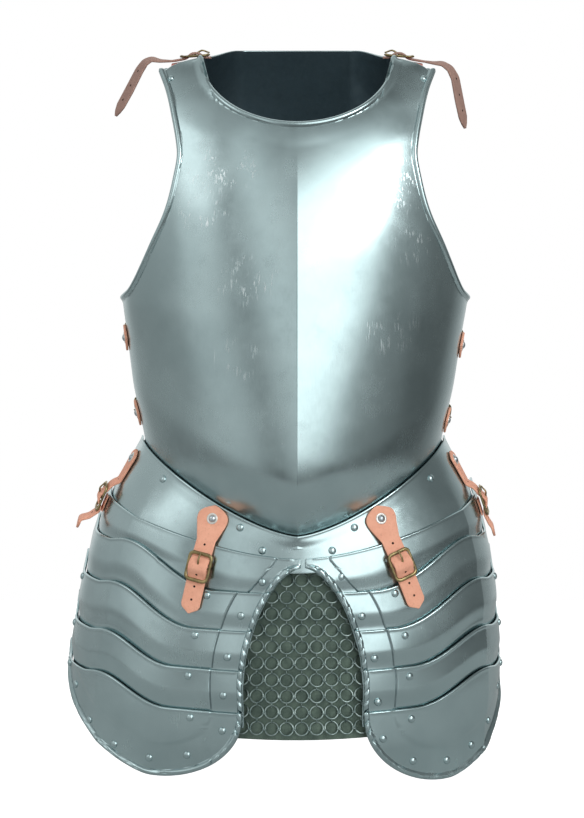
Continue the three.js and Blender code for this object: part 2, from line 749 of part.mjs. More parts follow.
function fauld() {
  const edge = Math.PI / 2 + 0.15;
  const columns = symmetric([0, 0.08, 0.17, 0.27, 0.37, 0.47, 0.57, 0.66, 0.75, 0.84, 0.92, 1]).map(
    (c) => c * edge,
  );
  const lines = columns.map((angle) => {
    const side = Math.sign(angle) || 1;
    const top = skirtWaist(angle).z;
    const low = lameTop(1, angle, side) - LAME_OVERLAP;
    return [0, 0.08, 0.3, 0.55, 0.8, 1].map((t) => skirtPoint(angle, mix(top, low, t)));
  });
  const grid = lines[0].map((_, i) => lines.map((line) => line[i]));
  return plate(grid, SHEET, (i) => (i === 0 ? 0.3 : i === 1 ? 0.6 : 0));
}

/** How far a point of the culet has moved from the back's waist line, d below it. */
function culetGrowth(angle, d) {
  const side = look(FLARE, "d", "side", d) * CULET_FLARE;
  return V(side * Math.sin(angle), 0.62 * d * Math.cos(angle), -d);
}

function culet() {
  const columns = spread(-CULET_EDGE_DEG, CULET_EDGE_DEG, 21).map(rad);
  const out = V();
  const lines = columns.map((angle) => {
    out.set(Math.sin(angle), Math.cos(angle), 0);
    return [0, 0.25, 0.5, 0.75, 1].map((t) =>
      backPoint(angle, WAIST_SIDE_Z)
        .addScaledVector(out, LAP_GAP)
        .add(culetGrowth(angle, t * CULET_HEIGHT)),
    );
  });
  const grid = lines[0].map((_, i) => lines.map((line) => line[i]));
  return plate(grid, SHEET, (i) => (i === 4 ? 1.4 : 0));
}

function mailSkirt() {
  const columns = spread(-MAIL_HALF_WIDTH, MAIL_HALF_WIDTH, 11);
  const rows = spread(0, 1, 10);
  const grid = rows.map((t) =>
    columns.map((x) => {
      const z = mix(-98, MAIL_HEM_Z, t);
      return skirtPoint(angleAtX(ARCH_CENTRE_X + x, z), z, MAIL_OFFSET);
    }),
  );
  return plate(grid, MAIL_THICKNESS);
}

// Leather and buckles

/** Leather strip through stations {p, n, w}: centre, face normal and width. */
function ribbon(stations, thickness = STRAP_THICKNESS) {
  const corners = stations.map(({ p, n, w }, i) => {
    const a = stations[Math.max(0, i - 1)].p;
    const b = stations[Math.min(stations.length - 1, i + 1)].p;
    const t = b.clone().sub(a).normalize();
    const side = t.clone().cross(n).normalize();
    const up = side.clone().cross(t).normalize();
    const at = (s, u) =>
      p.clone().addScaledVector(side, (s * w) / 2).addScaledVector(up, (u * thickness) / 2);
    return { outer: [at(-1, 1), at(1, 1)], inner: [at(-1, -1), at(1, -1)] };
  });
  return shellGeometry(corners.map((c) => c.outer), corners.map((c) => c.inner));
}

/** Bar of rectangular section between two points. */
function bar(a, b, up, width, height) {
  return ribbon([{ p: a, n: up, w: width }, { p: b, n: up, w: width }], height);
}

/** Buckle frame with rounded corners, centre bar and prong, in the plane given by the axes. */
function buckle({ p, along, across, up }) {
  const [hw, hl] = [BUCKLE_WIDTH / 2 - BUCKLE_WIRE, BUCKLE_LENGTH / 2];
  const cut = 4;
  const loop = [
    [-hw, -hl + cut], [-hw + cut, -hl], [hw - cut, -hl], [hw, -hl + cut],
    [hw, hl - cut], [hw - cut, hl], [-hw + cut, hl], [-hw, hl - cut],
  ];
  const centres = loop.map(([x, y]) =>
    p.clone().addScaledVector(across, x).addScaledVector(along, y),
  );
  const sides = 6;
  const ring = centres.map((c, i) => {
    const before = centres[(i + loop.length - 1) % loop.length];
    const after = centres[(i + 1) % loop.length];
    const t = after.clone().sub(before).normalize();
    const out = t.clone().cross(up).normalize();
    return Array.from({ length: sides }, (_, k) => {
      const a = (2 * Math.PI * k) / sides;
      return c
        .clone()
        .addScaledVector(out, BUCKLE_WIRE * Math.cos(a))
        .addScaledVector(up, BUCKLE_WIRE * Math.sin(a));
    });
  });
  const frame = new THREE.BufferGeometry();
  frame.setAttribute(
    "position",
    new THREE.Float32BufferAttribute(ring.flat().flatMap((v) => [v.x, v.y, v.z]), 3),
  );
  const index = [];
  for (let i = 0; i < loop.length; i++) {
    for (let k = 0; k < sides; k++) {
      const here = i * sides;
      const next = ((i + 1) % loop.length) * sides;
      const after = (k + 1) % sides;
      index.push(here + k, here + after, next + after, here + k, next + after, next + k);
    }
  }
  frame.setIndex(index);
  facingOut(frame);
  const end = (s) => p.clone().addScaledVector(across, s * hw);
  const centre = bar(end(-1), end(1), up, BAR, BAR);
  const top = p.clone().addScaledVector(along, -hl).addScaledVector(up, BUCKLE_WIRE);
  const clear = BAR / 2 + STRAP_THICKNESS + 2 * CLEAR + PRONG;
  const over = p.clone().addScaledVector(along, -2.5).addScaledVector(up, clear);
  return fused(frame, centre, bar(top, over, up, PRONG, PRONG));
}

/**
 * A buckled strap laid on a surface. face(l) is the surface's point and normal at a length l
 * from the head rivet. laps lists how far out the plates' faces stand along the strap. The
 * strap runs under the buckle's outer bars and over its centre bar, which a chape holds.
 */
function buckledStrap(name, face, { head, laps, barAt, tip, tipOut, chapeLength }) {
  const at = (l, o) => {
    const { p, n } = face(l);
    return p.addScaledVector(n, o);
  };
  const station = (l, o, w) => ({ p: at(l, o), n: face(l).n, w });
  const ground = (l) => Math.max(0, ...laps.filter((lap) => l > lap.from).map((lap) => lap.out));
  const centre = barAt + BUCKLE_LENGTH / 2;
  const end = barAt + BUCKLE_LENGTH;
  const base = ground(centre);
  const rest = STRAP_THICKNESS / 2 + CLEAR;
  const headOut = rest + 0.3;
  const under = BUCKLE_WIRE + rest + 0.1;
  const barOut = base + 2 * CLEAR + STRAP_THICKNESS + CHAPE_THICKNESS + BUCKLE_WIRE + 0.7;
  const middleOut = barOut + BAR / 2 + rest;
  const steps = laps.filter((lap) => lap.from > 10 && lap.from < barAt - 2);
  const stations = [
    station(-head * 0.36, headOut, head * 0.4),
    station(-head * 0.24, headOut, head * 0.76),
    station(0, headOut, head),
    station(head * 0.2, headOut, head * 0.94),
    station(head * 0.42, headOut, Math.max(STRAP_WIDTH, head * 0.68)),
    ...steps.flatMap((lap) => [
      station(lap.from - 5, ground(lap.from - 5) + rest, STRAP_WIDTH + 1),
      station(lap.from - 0.5, lap.out + rest + 0.15, STRAP_WIDTH),
    ]),
    station(barAt, barOut - under, STRAP_WIDTH),
    station(barAt + 4.5, barOut - under + 0.8, STRAP_WIDTH),
    station(centre - 3, middleOut, STRAP_WIDTH),
    station(centre + 3, middleOut, STRAP_WIDTH),
    station(end - 4.5, barOut - under + 0.8, STRAP_WIDTH),
    station(end, barOut - under, STRAP_WIDTH),
    station(mix(end, tip, 0.4), mix(barOut - under, tipOut, 0.5), STRAP_WIDTH),
    station(tip - 12, tipOut, STRAP_WIDTH),
    station(tip - 4, tipOut, STRAP_WIDTH * 0.6),
    station(tip, tipOut, 3),
  ];
  const low = base + CLEAR + CHAPE_THICKNESS / 2;
  const chape = [
    station(centre - 3.5, low, STRAP_WIDTH - 3),
    station(centre + 3, low + 0.1, STRAP_WIDTH - 3),
    station(centre + chapeLength * 0.6, low, STRAP_WIDTH - 3),
    station(centre + chapeLength, low, STRAP_WIDTH - 3),
  ];
  const up = face(centre).n;
  const along = at(centre + 2, 0).sub(at(centre - 2, 0)).normalize();
  const across = along.clone().cross(up).normalize();
  const lie = { p: at(centre, barOut), along, across, up: across.clone().cross(along).normalize() };
  const stud = { p: at(0, headOut + STRAP_THICKNESS / 2), n: face(0).n };
  straps.add(named(`strap_${name}`, fused(ribbon(stations), rivet(stud)), LEATHER));
  straps.add(named(`chape_${name}`, ribbon(chape, CHAPE_THICKNESS), LEATHER));
  straps.add(named(`buckle_${name}`, buckle(lie), BRASS));
}

// Assembly
const torso = new THREE.Group();
const skirt = new THREE.Group();
const straps = new THREE.Group();

torso.add(named("breastplate", breastplate(), STEEL));
torso.add(named("backplate", backplate(), STEEL));

const fauldRivets = [-1, 1].flatMap((side) =>
  FAULD_RIVETS.map(({ x, z }) => rivet(faceAt(skirtPoint, angleAtX(side * x, z), z))),
);
skirt.add(named("fauld", fused(fauld(), ...fauldRivets), STEEL));
skirt.add(named("culet", culet(), STEEL));
skirt.add(named("mail_skirt", mailSkirt(), MAIL));

/** Rivets of a lame: in the sunk border, near the top edge, at the back and along the hem. */
function lameRivets(k, side) {
  const name = side < 0 ? "left" : "right";
  const on = (angle, z, offset) => rivet(faceAt((a, h) => skirtPoint(a, h, offset), angle, z));
  const byArch = ({ inset, z }, offset) =>
    on(angleAtX(ARCH_CENTRE_X + side * (archHalfWidth(z) + inset), z), z, offset);
  const border = BORDER_RIVETS[name][k - 1];
  const spots = [byArch(border, border.offset)];
  if (k > 1) spots.push(byArch(EDGE_RIVETS[name][k - 2], LAME_STEP + BORDER_DEPTH));
  if (k > 2) {
    const angle = side * rad(REAR_LINING_DEG);
    spots.push(on(angle, lameTop(k, angle, side) - 5, LAME_STEP + BORDER_DEPTH));
  }
  if (k === 5) {
    for (const { deg, z } of HEM_RIVETS[name]) {
      const angle = side * rad(deg);
      spots.push(on(angle, z, LAME_STEP * lastLameStep(lameTop(5, angle, side) - z)));
    }
  }
  return spots;
}

for (const side of [-1, 1]) {
  for (let k = 1; k <= 5; k++) {
    const name = `tasset_${side < 0 ? "left" : "right"}_lame_${k}`;
    skirt.add(named(name, fused(lamePlate(k, side), ...lameRivets(k, side)), STEEL));
  }
}

// Leathers inside each tasset, to which its lames are riveted.
for (const side of [-1, 1]) {
  for (const [place, inset] of [["front", 20], ["rear", 0]]) {
    const inside = -SHEET - CLEAR - LINING_THICKNESS / 2 - (place === "front" ? 0.4 : 1.4);
    const lowest = place === "front" ? -290 : -240;
    const stations = spread(-112, lowest, 8).map((z) => {
      const x = ARCH_CENTRE_X + side * (archHalfWidth(z) + inset);
      const angle = place === "front" ? angleAtX(x, z) : side * rad(REAR_LINING_DEG);
      const { p, n } = faceAt((a, h) => skirtPoint(a, h, inside), angle, z);
      return { p, n, w: LINING_WIDTH };
    });
    const name = `lining_${side < 0 ? "left" : "right"}_${place}`;
    skirt.add(named(name, ribbon(stations, LINING_THICKNESS), LEATHER));
  }
}

/** A path down the skirt between two angles, fall being its height lost for each millimetre. */
function skirtPath(startDeg, endDeg, startZ, fall, length) {
  return (l) => faceAt(skirtPoint, rad(mix(startDeg, endDeg, l / length)), startZ - l * fall);
}

/** Where a tasset strap passes on to the next two plates, and how far out their faces stand. */
const tassetLaps = (first, second) => [
  { from: first, out: LAME_STEP + BORDER_DEPTH },
  { from: second, out: LAME_STEP + BORDER_DEPTH },
];

/** A path down the skirt seen from the front: x at its start and at its end. */
function frontPath(startX, endX, startZ, fall, length) {
  return (l) => {
    const z = startZ - l * fall;
    return faceAt(skirtPoint, angleAtX(mix(startX, endX, l / length), z), z);
  };
}
const front = { head: 34, laps: tassetLaps(24, 70), barAt: 38, tip: 103, tipOut: 7.2 };
const frontLeathers = { ...front, chapeLength: 16 };
buckledStrap("tasset_left_front", frontPath(-87, -110, -59, 0.93, 103), frontLeathers);
buckledStrap("tasset_right_front", frontPath(86, 123, -59, 0.9, 103), frontLeathers);
const side = { head: 24, laps: tassetLaps(32, 66), barAt: 36, tip: 92, chapeLength: 14 };
buckledStrap("tasset_left_side", skirtPath(-82, -84, -12, 0.9, 92), { ...side, tipOut: 24 });
buckledStrap("tasset_right_side", skirtPath(82, 84, -14, 0.93, 92), { ...side, tipOut: 12 });

/** A path round the side from the breastplate on to the backplate. */
function sidePath(sign, z) {
  const rearPoint = (a, h) => {
    const p = backPoint(a, h);
    const n = V(p.x, p.y, 0).normalize();
    return p.addScaledVector(n, BACK_INSET);
  };
  return (l) => {
    const a = (l - 9) / TORSO_RADIUS / 0.82;
    const onBreast = a < 0;
    return faceAt(onBreast ? breastPoint : rearPoint, sign * (Math.PI / 2 - Math.abs(a)), z);
  };
}
const girth = { head: 28, laps: [], barAt: 36, tip: 96, tipOut: 3.8, chapeLength: 20 };
for (const [name, z] of [["upper", 118], ["lower", 37]]) {
  buckledStrap(`left_${name}`, sidePath(-1, z), girth);
  buckledStrap(`right_${name}`, sidePath(1, z - 8), girth);
}

/** Leather that joins the plates over a shoulder, and the buckled strap laid across it. */
function shoulderLeathers(sign) {
  const side = sign < 0 ? "left" : "right";
  const slope = Math.tan(rad(BRIDGE_LEAN_DEG));
  const inside = (z, point, inset) => {
    const half = look(TORSO, "z", "half", z) - inset;
    const out = -SHEET - 2 * CLEAR - STRAP_THICKNESS / 2 - 0.8;
    const { p, n } = faceAt(point, Math.asin((sign * BRIDGE_X) / half), z, out);
    return { p, n, w: BRIDGE_WIDTH };
  };
  const arch = [-10, -4, 4, 10].map((y) => ({
    p: V(sign * BRIDGE_X, y, BRIDGE_TOP_Z - y * y * 0.03),
    n: V(sign * slope, y * 0.07, 1).normalize(),
    w: BRIDGE_WIDTH,
  }));
  const bridge = [
    ...[368, 380, 390, 399].map((z) => inside(z, breastPoint, 0)),
    ...arch,
    ...[399, 390, 380, 368].map((z) => inside(z, backPoint, BACK_INSET)),
  ];
  straps.add(named(`bridge_${side}`, ribbon(bridge), LEATHER));

  const tail = [...SHOULDER_STRAP, ...SHOULDER_END[side]].map(({ x, z, lean, turn = 0, w = 20 }) => {
    const [a, b] = [rad(lean), rad(turn)];
    const n = V(sign * Math.sin(a) * Math.cos(b), -Math.sin(b), Math.cos(a) * Math.cos(b));
    return { p: V(sign * x, 0, z), n, w };
  });
  straps.add(named(`strap_shoulder_${side}`, ribbon(tail), LEATHER));
  const across = V(0, 1, 0);
  const along = V(sign * Math.cos(rad(SHOULDER_LEAN_DEG)), 0, -Math.sin(rad(SHOULDER_LEAN_DEG)));
  const up = V(sign * Math.sin(rad(SHOULDER_LEAN_DEG)), 0, Math.cos(rad(SHOULDER_LEAN_DEG)));
  const p = V(sign * SHOULDER_BUCKLE.x, 0, SHOULDER_BUCKLE.z);
  straps.add(named(`buckle_shoulder_${side}`, buckle({ p, along, across, up }), BRASS));
}
shoulderLeathers(-1);
shoulderLeathers(1);

const cuirass = new THREE.Group();
cuirass.add(torso, skirt, straps);
cuirass.position.z = -SHOULDER_HEIGHT;

export default cuirass;
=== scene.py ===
"""Looks of the steel cuirass: plates, mail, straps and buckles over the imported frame."""
import math

import bpy
import numpy as np
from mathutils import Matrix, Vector


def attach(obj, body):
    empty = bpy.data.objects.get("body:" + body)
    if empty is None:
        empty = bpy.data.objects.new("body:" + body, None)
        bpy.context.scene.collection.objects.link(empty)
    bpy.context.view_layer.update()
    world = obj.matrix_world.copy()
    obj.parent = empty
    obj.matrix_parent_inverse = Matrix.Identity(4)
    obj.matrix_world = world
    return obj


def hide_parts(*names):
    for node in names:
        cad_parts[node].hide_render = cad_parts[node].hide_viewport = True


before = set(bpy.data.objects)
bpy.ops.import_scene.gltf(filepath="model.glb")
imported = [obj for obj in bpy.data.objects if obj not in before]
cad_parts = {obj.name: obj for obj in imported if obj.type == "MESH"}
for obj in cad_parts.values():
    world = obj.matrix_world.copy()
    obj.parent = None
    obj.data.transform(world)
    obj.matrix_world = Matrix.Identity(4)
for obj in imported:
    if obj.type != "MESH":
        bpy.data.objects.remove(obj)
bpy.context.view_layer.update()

# Camera
SHOULDER_HEIGHT = 412.0  # mm from the waist up to the frame's origin
CAMERA_DISTANCE = 2600.0
CAMERA_RAISED = math.radians(8)
TARGET = (-5.4, 0.0, 39.0)
LENS = 105.95

camera_data = bpy.data.cameras.new("camera")
camera_data.lens = LENS
camera_data.sensor_width = 36
camera_data.clip_end = 60
camera = bpy.data.objects.new("camera", camera_data)
bpy.context.scene.collection.objects.link(camera)
camera.location = (
    TARGET[0] / 1000,
    (TARGET[1] - CAMERA_DISTANCE * math.cos(CAMERA_RAISED)) / 1000,
    (TARGET[2] + CAMERA_DISTANCE * math.sin(CAMERA_RAISED) - SHOULDER_HEIGHT) / 1000,
)
camera.rotation_euler = (math.pi / 2 - CAMERA_RAISED, 0, 0)
bpy.context.scene.camera = camera

# Dimensions of the plates, in mm, with heights from the waist at the sides
SHEET = 1.5
LAP_GAP = 2.8
WAIST_HALF_WIDTH = 160
WAIST_FRONT_DEPTH = 134
WAIST_BACK_DEPTH = 94
WAIST_SIDE_Z = 7
WAIST_V_DROP = 81
WAIST_V_POWER = 1.5
RIDGE_HALF_WIDTH = 110
FLANGE = 12
ARMHOLE_BOTTOM_Z = 157
SIDE_WRAP_DEG = 97
BACK_WRAP_DEG = 94
BACK_INSET = 3.2
NECK_HALF_WIDTH = 99
NECK_DEPTH = 66
SHOULDER_INNER_Z = 415
SHOULDER_OUTER_Z = 401
NAPE_Z = 422
TORSO_RADIUS = 160
SKIRT_TURN = math.radians(3)
SKIRT_LEAN = 0.047
LEAN_LENGTH = 270
ARCH_HALF_WIDTH = 62
ARCH_TOP_Z = -104
ARCH_SPRING_Z = -225
ARCH_CENTRE_X = 6
LAME_STEP = 3
LAME_OVERLAP = 14
LAST_HEIGHT = 75  # rough height of lame 5, which spaces its rows of points
BORDER_WIDTH = 34
BORDER_DEPTH = 1
TAIL_END = math.radians(110)
LAST_TAIL_END = math.radians(104)
STRAP_THICKNESS = 2.5
STRAP_WIDTH = 21
BUCKLE_WIRE = 1.35
BUCKLE_WIDTH = 27
BUCKLE_LENGTH = 28
CLEAR = 0.35
BAR = 2.2
CHAPE_THICKNESS = 1.6
LINING_THICKNESS = 1.5
LINING_WIDTH = 18
BRIDGE_WIDTH = 28
BRIDGE_X = 119
BRIDGE_TOP_Z = 410
BRIDGE_LEAN = math.radians(10)
ROLL = 3.1  # radius of a rolled edge
CHUNK = 4000  # points measured at a time

TORSO = {
    "z": [-90, 0, 27, 76, 125, 162, 220, 280, 330, 365, 390, 405, 418, 430],
    "half": [167, 165, 167.5, 173.5, 180, 185, 187, 187, 187, 187, 187, 187, 187, 187],
    "front": [158, 160, 159, 156, 152, 148, 140, 124, 102, 77, 52, 34, 15, 6],
    "back": [100, 100, 104, 112, 119, 122, 122, 114, 96, 76, 52, 34, 16, 8],
    "nape": [100, 100, 104, 112, 119, 122, 124, 120, 108, 97, 86, 78, 70, 63],
    "sway": [-4, -4, -4, -3.6, -2.8, -2, 0, 0, 0, 0, 0, 0, 0, 0],
}
ARMHOLE = {
    "z": [157, 160, 163, 167, 173, 182, 196, 221, 258, 300, 320, 360, 382, 401, 430],
    "deg": [97, 92, 86, 79, 71.6, 66.5, 61.6, 55, 46.9, 42.3, 41.5, 44.6, 47.2, 50.8, 56],
}
RIDGE = {"h": [0, 60, 150, 240, 330, 398], "rise": [8, 16, 15, 12, 8, 0]}
FLARE = {
    "d": [0, 28, 58, 103, 145, 190, 235, 345],
    "side": [0, 15, 30.5, 45.5, 56, 62.5, 67.5, 68.5],
    "front": [0, 8, 14, 20, 25, 27, 28, 29],
}
LAMES = [
    {"top": -131, "rise": 44, "from": 24, "tail": 6},
    {"top": -171, "rise": 39, "from": 29, "tail": 10},
    {"top": -212, "rise": 29, "from": 34, "tail": 16},
    {"top": -256, "rise": 28, "from": 34, "tail": 22},
]
LAME_1_TOP = -96
LAME_1_RISE = 45
LAME_1_POWER = 1.87
HEM_Z = {-1: -329, 1: -337}
HEM_ROUNDING = 100
HEM_RISE_FROM = 105
HEM_RISE_RATE = 0.06
HEM_RISE_POWER = 1.45
SKIRT_ROUND = (225, 162)  # half-width and depth of the oval that the skirt's offsets follow
CREASE = math.radians(60.5)
CREASE_HEIGHT = 7
CREASE_SPREAD = math.radians(15)
RIDGE_ROUNDING = 30  # reach of the rounding of the skirt's centre ridge
RIDGE_SLOPE = 0.13
LAME_1_LINE_X = (28, 69)  # border line of lame 1, from the arch's centre, at its two heights
LAME_1_LINE_Z = (-97, -145)
ROPE_PITCH = 11.5
ROPE_SLANT = 1.1
ROPE_NOTCH = 1.25
GROOVE_DEPTH = 0.7
TAPER = (75, 40)  # where the full step of lame 5 starts to fade below its top edge, and over what
CULET_HEIGHT = 74
CULET_FLARE = 0.8
CULET_EDGE = math.radians(75)
FAULD_RIVETS = [(59, -66), (36, -88), (141, -24)]
# Distance from the arch, height and step of the face for lames 1 to 5
BORDER_RIVETS = {
    -1: [(17, -119, 1.8), (18, -154, 2.2), (19, -197, 2.2), (20, -237, 2.2), (21, -274, 3)],
    1: [(19, -114, 1.8), (14, -155, 2.2), (14, -199, 2.2), (15, -245, 2.2), (20, -284, 3)],
}
# Distance from the arch and height for lames 2 to 5
EDGE_RIVETS = {
    -1: [(62, -135), (57, -176.5), (56, -219), (54, -262.5)],
    1: [(58, -134), (50, -178), (47, -221), (49, -266)],
}
# Angle and height along the hem of lame 5
HEM_RIVETS = {
    -1: [(28, -303), (39, -311), (51, -303), (61.5, -283), (72, -252)],
    1: [(33.5, -312), (46, -318), (57, -308), (67, -288), (77, -257)],
}
REAR_LINING = math.radians(84)
SIDES = {-1: "left", 1: "right"}


# Numbers and vectors
def look(table, column, at):
    """Smooth value of a table's column where its first column has the given values."""
    x = np.array(next(iter(table.values())), float)
    y = np.array(table[column], float)
    at = np.clip(np.asarray(at, float), x[0], x[-1])
    before = np.maximum(np.arange(len(x)) - 1, 0)
    after = np.minimum(np.arange(len(x)) + 1, len(x) - 1)
    slope = (y[after] - y[before]) / (x[after] - x[before])
    i = np.clip(np.searchsorted(x, at, "right") - 1, 0, len(x) - 2)
    step = x[i + 1] - x[i]
    u = (at - x[i]) / step
    return (
        (2 * u**3 - 3 * u**2 + 1) * y[i]
        + (u**3 - 2 * u**2 + u) * step * slope[i]
        + (3 * u**2 - 2 * u**3) * y[i + 1]
        + (u**3 - u**2) * step * slope[i + 1]
    )


def mix(a, b, u):
    return a + (b - a) * u


def clip01(u):
    return np.clip(u, 0, 1)


def smooth(u):
    u = clip01(u)
    return u * u * (3 - 2 * u)


def vec(x, y, z):
    return np.stack(np.broadcast_arrays(x, y, z), -1).astype(float)


def unit(v):
    return v / np.maximum(np.linalg.norm(v, axis=-1, keepdims=True), 1e-12)


def face_at(point, angle, z, offset=0.0):
    """Point and outward normal of a surface given by an angle and a height."""
    angle, z = np.broadcast_arrays(np.asarray(angle, float), np.asarray(z, float))
    turn, rise = 0.002, 0.5
    across = point(angle + turn, z) - point(angle - turn, z)
    up = point(angle, z + rise) - point(angle, z - rise)
    p = point(angle, z)
    n = unit(np.cross(across, up))
    inward = (n[..., 0] * p[..., 0] + n[..., 1] * p[..., 1]) < 0
    n = np.where(inward[..., None], -n, n)
    return p + n * np.asarray(offset, float)[..., None], n


# Torso surfaces
def waist_z(angle):
    return WAIST_SIDE_Z - WAIST_V_DROP * (1 - np.abs(np.sin(angle)) ** WAIST_V_POWER)


def breast_point(angle, z):
    h = z - waist_z(angle)
    out = 1 - (1 - clip01(h / 70)) ** 2
    half = mix(WAIST_HALF_WIDTH, look(TORSO, "half", z), out)
    depth = mix(WAIST_FRONT_DEPTH, look(TORSO, "front", z), out)
    x = half * np.sin(angle) + look(TORSO, "sway", z) * np.sin(angle) ** 2
    rise = look(RIDGE, "rise", h) * clip01(1 - np.abs(x) / RIDGE_HALF_WIDTH) ** 2
    return vec(x, -depth * np.cos(angle) - rise, z)


def back_point(angle, z):
    half = look(TORSO, "half", z) - BACK_INSET
    x = half * np.sin(angle)
    nape = 1 - smooth((np.abs(x) - 55) / 50)
    out = 1 - (1 - clip01((z - WAIST_SIDE_Z) / 60)) ** 2
    full = mix(look(TORSO, "back", z), look(TORSO, "nape", z), nape)
    depth = mix(WAIST_BACK_DEPTH, full, out)
    waist = mix(WAIST_HALF_WIDTH - BACK_INSET, half, out)
    sway = look(TORSO, "sway", z) * np.sin(angle) ** 2
    return vec(waist * np.sin(angle) + sway, depth * np.cos(angle), z)


def edge_angle(z, wrap):
    return np.minimum(wrap, np.radians(look(ARMHOLE, "deg", z)))


def warp(c, edge, wrap):
    lost = 1 - edge / wrap
    power = np.where(lost > 1e-9, np.minimum(4, 0.88 / np.maximum(lost, 1e-9)), 4)
    return wrap * (c - lost * c ** np.maximum(1, power))


def bisect(f, low, high, wanted):
    """Argument at which a rising function has the wanted values."""
    low = np.full(np.shape(wanted), float(low))
    high = np.full(np.shape(wanted), float(high))
    for _ in range(34):
        middle = (low + high) / 2
        below = f(middle) < wanted
        low = np.where(below, middle, low)
        high = np.where(below, high, middle)
    return (low + high) / 2


# Skirt surfaces
def skirt_growth(angle, d, lean):
    past = np.maximum(0, np.abs(angle) - math.pi / 2)
    side = look(FLARE, "side", d)
    front = look(FLARE, "front", d)
    across = np.where(past > 0, 1, np.abs(np.sin(angle)))
    sign = np.sign(angle)
    stretch = lean * np.minimum(1, d / LEAN_LENGTH) * (WAIST_HALF_WIDTH + side)
    x = sign * (side - sign * stretch) * across
    y = np.where(past > 0, front * past, -front * np.cos(angle))
    return vec(x, y, -d)


def skirt_waist(angle):
    past = np.abs(angle) - math.pi / 2
    low = waist_z(np.where(past > 0, math.pi / 2, angle))
    sway = look(TORSO, "sway", 0)
    x = np.sign(angle) * (WAIST_HALF_WIDTH + LAP_GAP + 10 * past) + sway
    beyond = vec(x, WAIST_FRONT_DEPTH * past, low)
    n = unit(vec(np.sin(angle) / WAIST_HALF_WIDTH, -np.cos(angle) / WAIST_FRONT_DEPTH, 0))
    return np.where((past > 0)[..., None], beyond, breast_point(angle, low) + n * LAP_GAP)


def crease_bulge(angle, d):
    away = np.abs(np.abs(angle - SKIRT_TURN) - CREASE) / CREASE_SPREAD
    return CREASE_HEIGHT * smooth(d / 70) * np.exp(-away) * smooth((2.4 - away) / 1.2)


def skirt_point(angle, z, offset=0.0):
    angle, z = np.broadcast_arrays(np.asarray(angle, float), np.asarray(z, float))
    waist = skirt_waist(angle)
    d = np.maximum(0, waist[..., 2] - z)
    p = waist + skirt_growth(angle, d, SKIRT_LEAN)
    p[..., 2] = z
    soft = RIDGE_ROUNDING * smooth(d / 14)
    x = np.abs(p[..., 0])
    p[..., 1] += RIDGE_SLOPE * (np.sqrt(x * x + soft * soft) - x)
    a = np.clip(angle, -math.pi / 2, math.pi / 2)
    n = unit(vec(np.sin(a) / SKIRT_ROUND[0], -np.cos(a) / SKIRT_ROUND[1], 0))
    return p + n * (offset + crease_bulge(angle, d))[..., None]


def arch_half_width(z):
    z = np.asarray(z, float)
    q = clip01((z - ARCH_SPRING_Z) / (ARCH_TOP_Z - ARCH_SPRING_Z))
    width = ARCH_HALF_WIDTH * (1 - q**1.6) ** (1 / 1.8)
    return np.where(z >= ARCH_TOP_Z - 0.5, 3, np.maximum(3, width))


def angle_at_x(x, z):
    x, z = np.broadcast_arrays(np.asarray(x, float), np.asarray(z, float))
    return bisect(lambda a: skirt_point(a, z)[..., 0], -math.pi / 2, math.pi / 2, x)


def lame_top(k, angle, side):
    a = np.abs(angle)
    past = clip01((a - math.pi / 2) / (TAIL_END - math.pi / 2))
    if k == 1:
        s = np.sin(np.minimum(a, math.pi / 2))
        return LAME_1_TOP + LAME_1_RISE * s**LAME_1_POWER + 4 * past
    lame = LAMES[k - 2]
    crease = CREASE + side * SKIRT_TURN
    start = math.radians(lame["from"])
    up = smooth((a - start) / (crease - start))
    dip = smooth((a - crease) / math.radians(9)) * 4
    return lame["top"] + lame["rise"] * up - dip + (lame["tail"] + 4) * past**1.3


def lame_bottom(k, angle, side, along):
    if k < 5:
        return lame_top(k + 1, angle, side) - LAME_OVERLAP
    start = LAMES[3]["top"] - 2
    bottom = HEM_Z[side]
    u = clip01(1 - along / HEM_ROUNDING)
    rounded = mix(bottom, start, 1 - np.sqrt(1 - u * u))
    beyond = np.maximum(0, along - HEM_RISE_FROM)
    return np.where(
        along < HEM_ROUNDING, rounded, bottom + HEM_RISE_RATE * beyond**HEM_RISE_POWER
    )


# Meshes
class Form:
    """Vertices and faces of a piece, each face with a material's number."""

    def __init__(self):
        self.points = []
        self.faces = []
        self.materials = []
        self.count = 0

    def add(self, points, faces, material=0):
        self.points.append(np.asarray(points, float).reshape(-1, 3))
        self.faces.extend([[int(i) + self.count for i in face] for face in faces])
        self.materials.extend([material] * len(faces))
        self.count += len(self.points[-1])


def piece(name, form, materials, replaces, sharp=42):
    """A finished object made from a form, which stands for the given nodes."""
    points = np.concatenate(form.points)
    points = (points - [0, 0, SHOULDER_HEIGHT]) / 1000
    mesh = bpy.data.meshes.new(name)
    mesh.from_pydata(points.tolist(), [], form.faces)
    mesh.polygons.foreach_set("material_index", form.materials)
    mesh.polygons.foreach_set("use_smooth", [True] * len(form.faces))
    mesh.update()
    mesh.set_sharp_from_angle(angle=math.radians(sharp))
    for material in materials:
        mesh.materials.append(material)
    made = bpy.data.objects.new(name, mesh)
    bpy.context.scene.collection.objects.link(made)
    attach(made, "root")
    if replaces:
        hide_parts(*replaces)
    return made


def quads(rows, columns, base=0, closed=False):
    """Faces of a grid of points, row by row; closed joins the last column to the first."""
    last = columns if closed else columns - 1
    i, j = np.meshgrid(np.arange(rows - 1) * columns, np.arange(last), indexing="ij")
    k = (j + 1) % columns
    faces = np.stack([i + j, i + k, i + columns + k, i + columns + j], -1)
    return faces.reshape(-1, 4) + base


def outward(points, faces):
    """The faces, turned round if the solid is inside out."""
    f = np.asarray(faces)
    a, b, c, d = (points[f[:, k]] for k in range(4))
    volume = (a * np.cross(b, c)).sum() + (a * np.cross(c, d)).sum()
    return f[:, ::-1] if volume < 0 else f


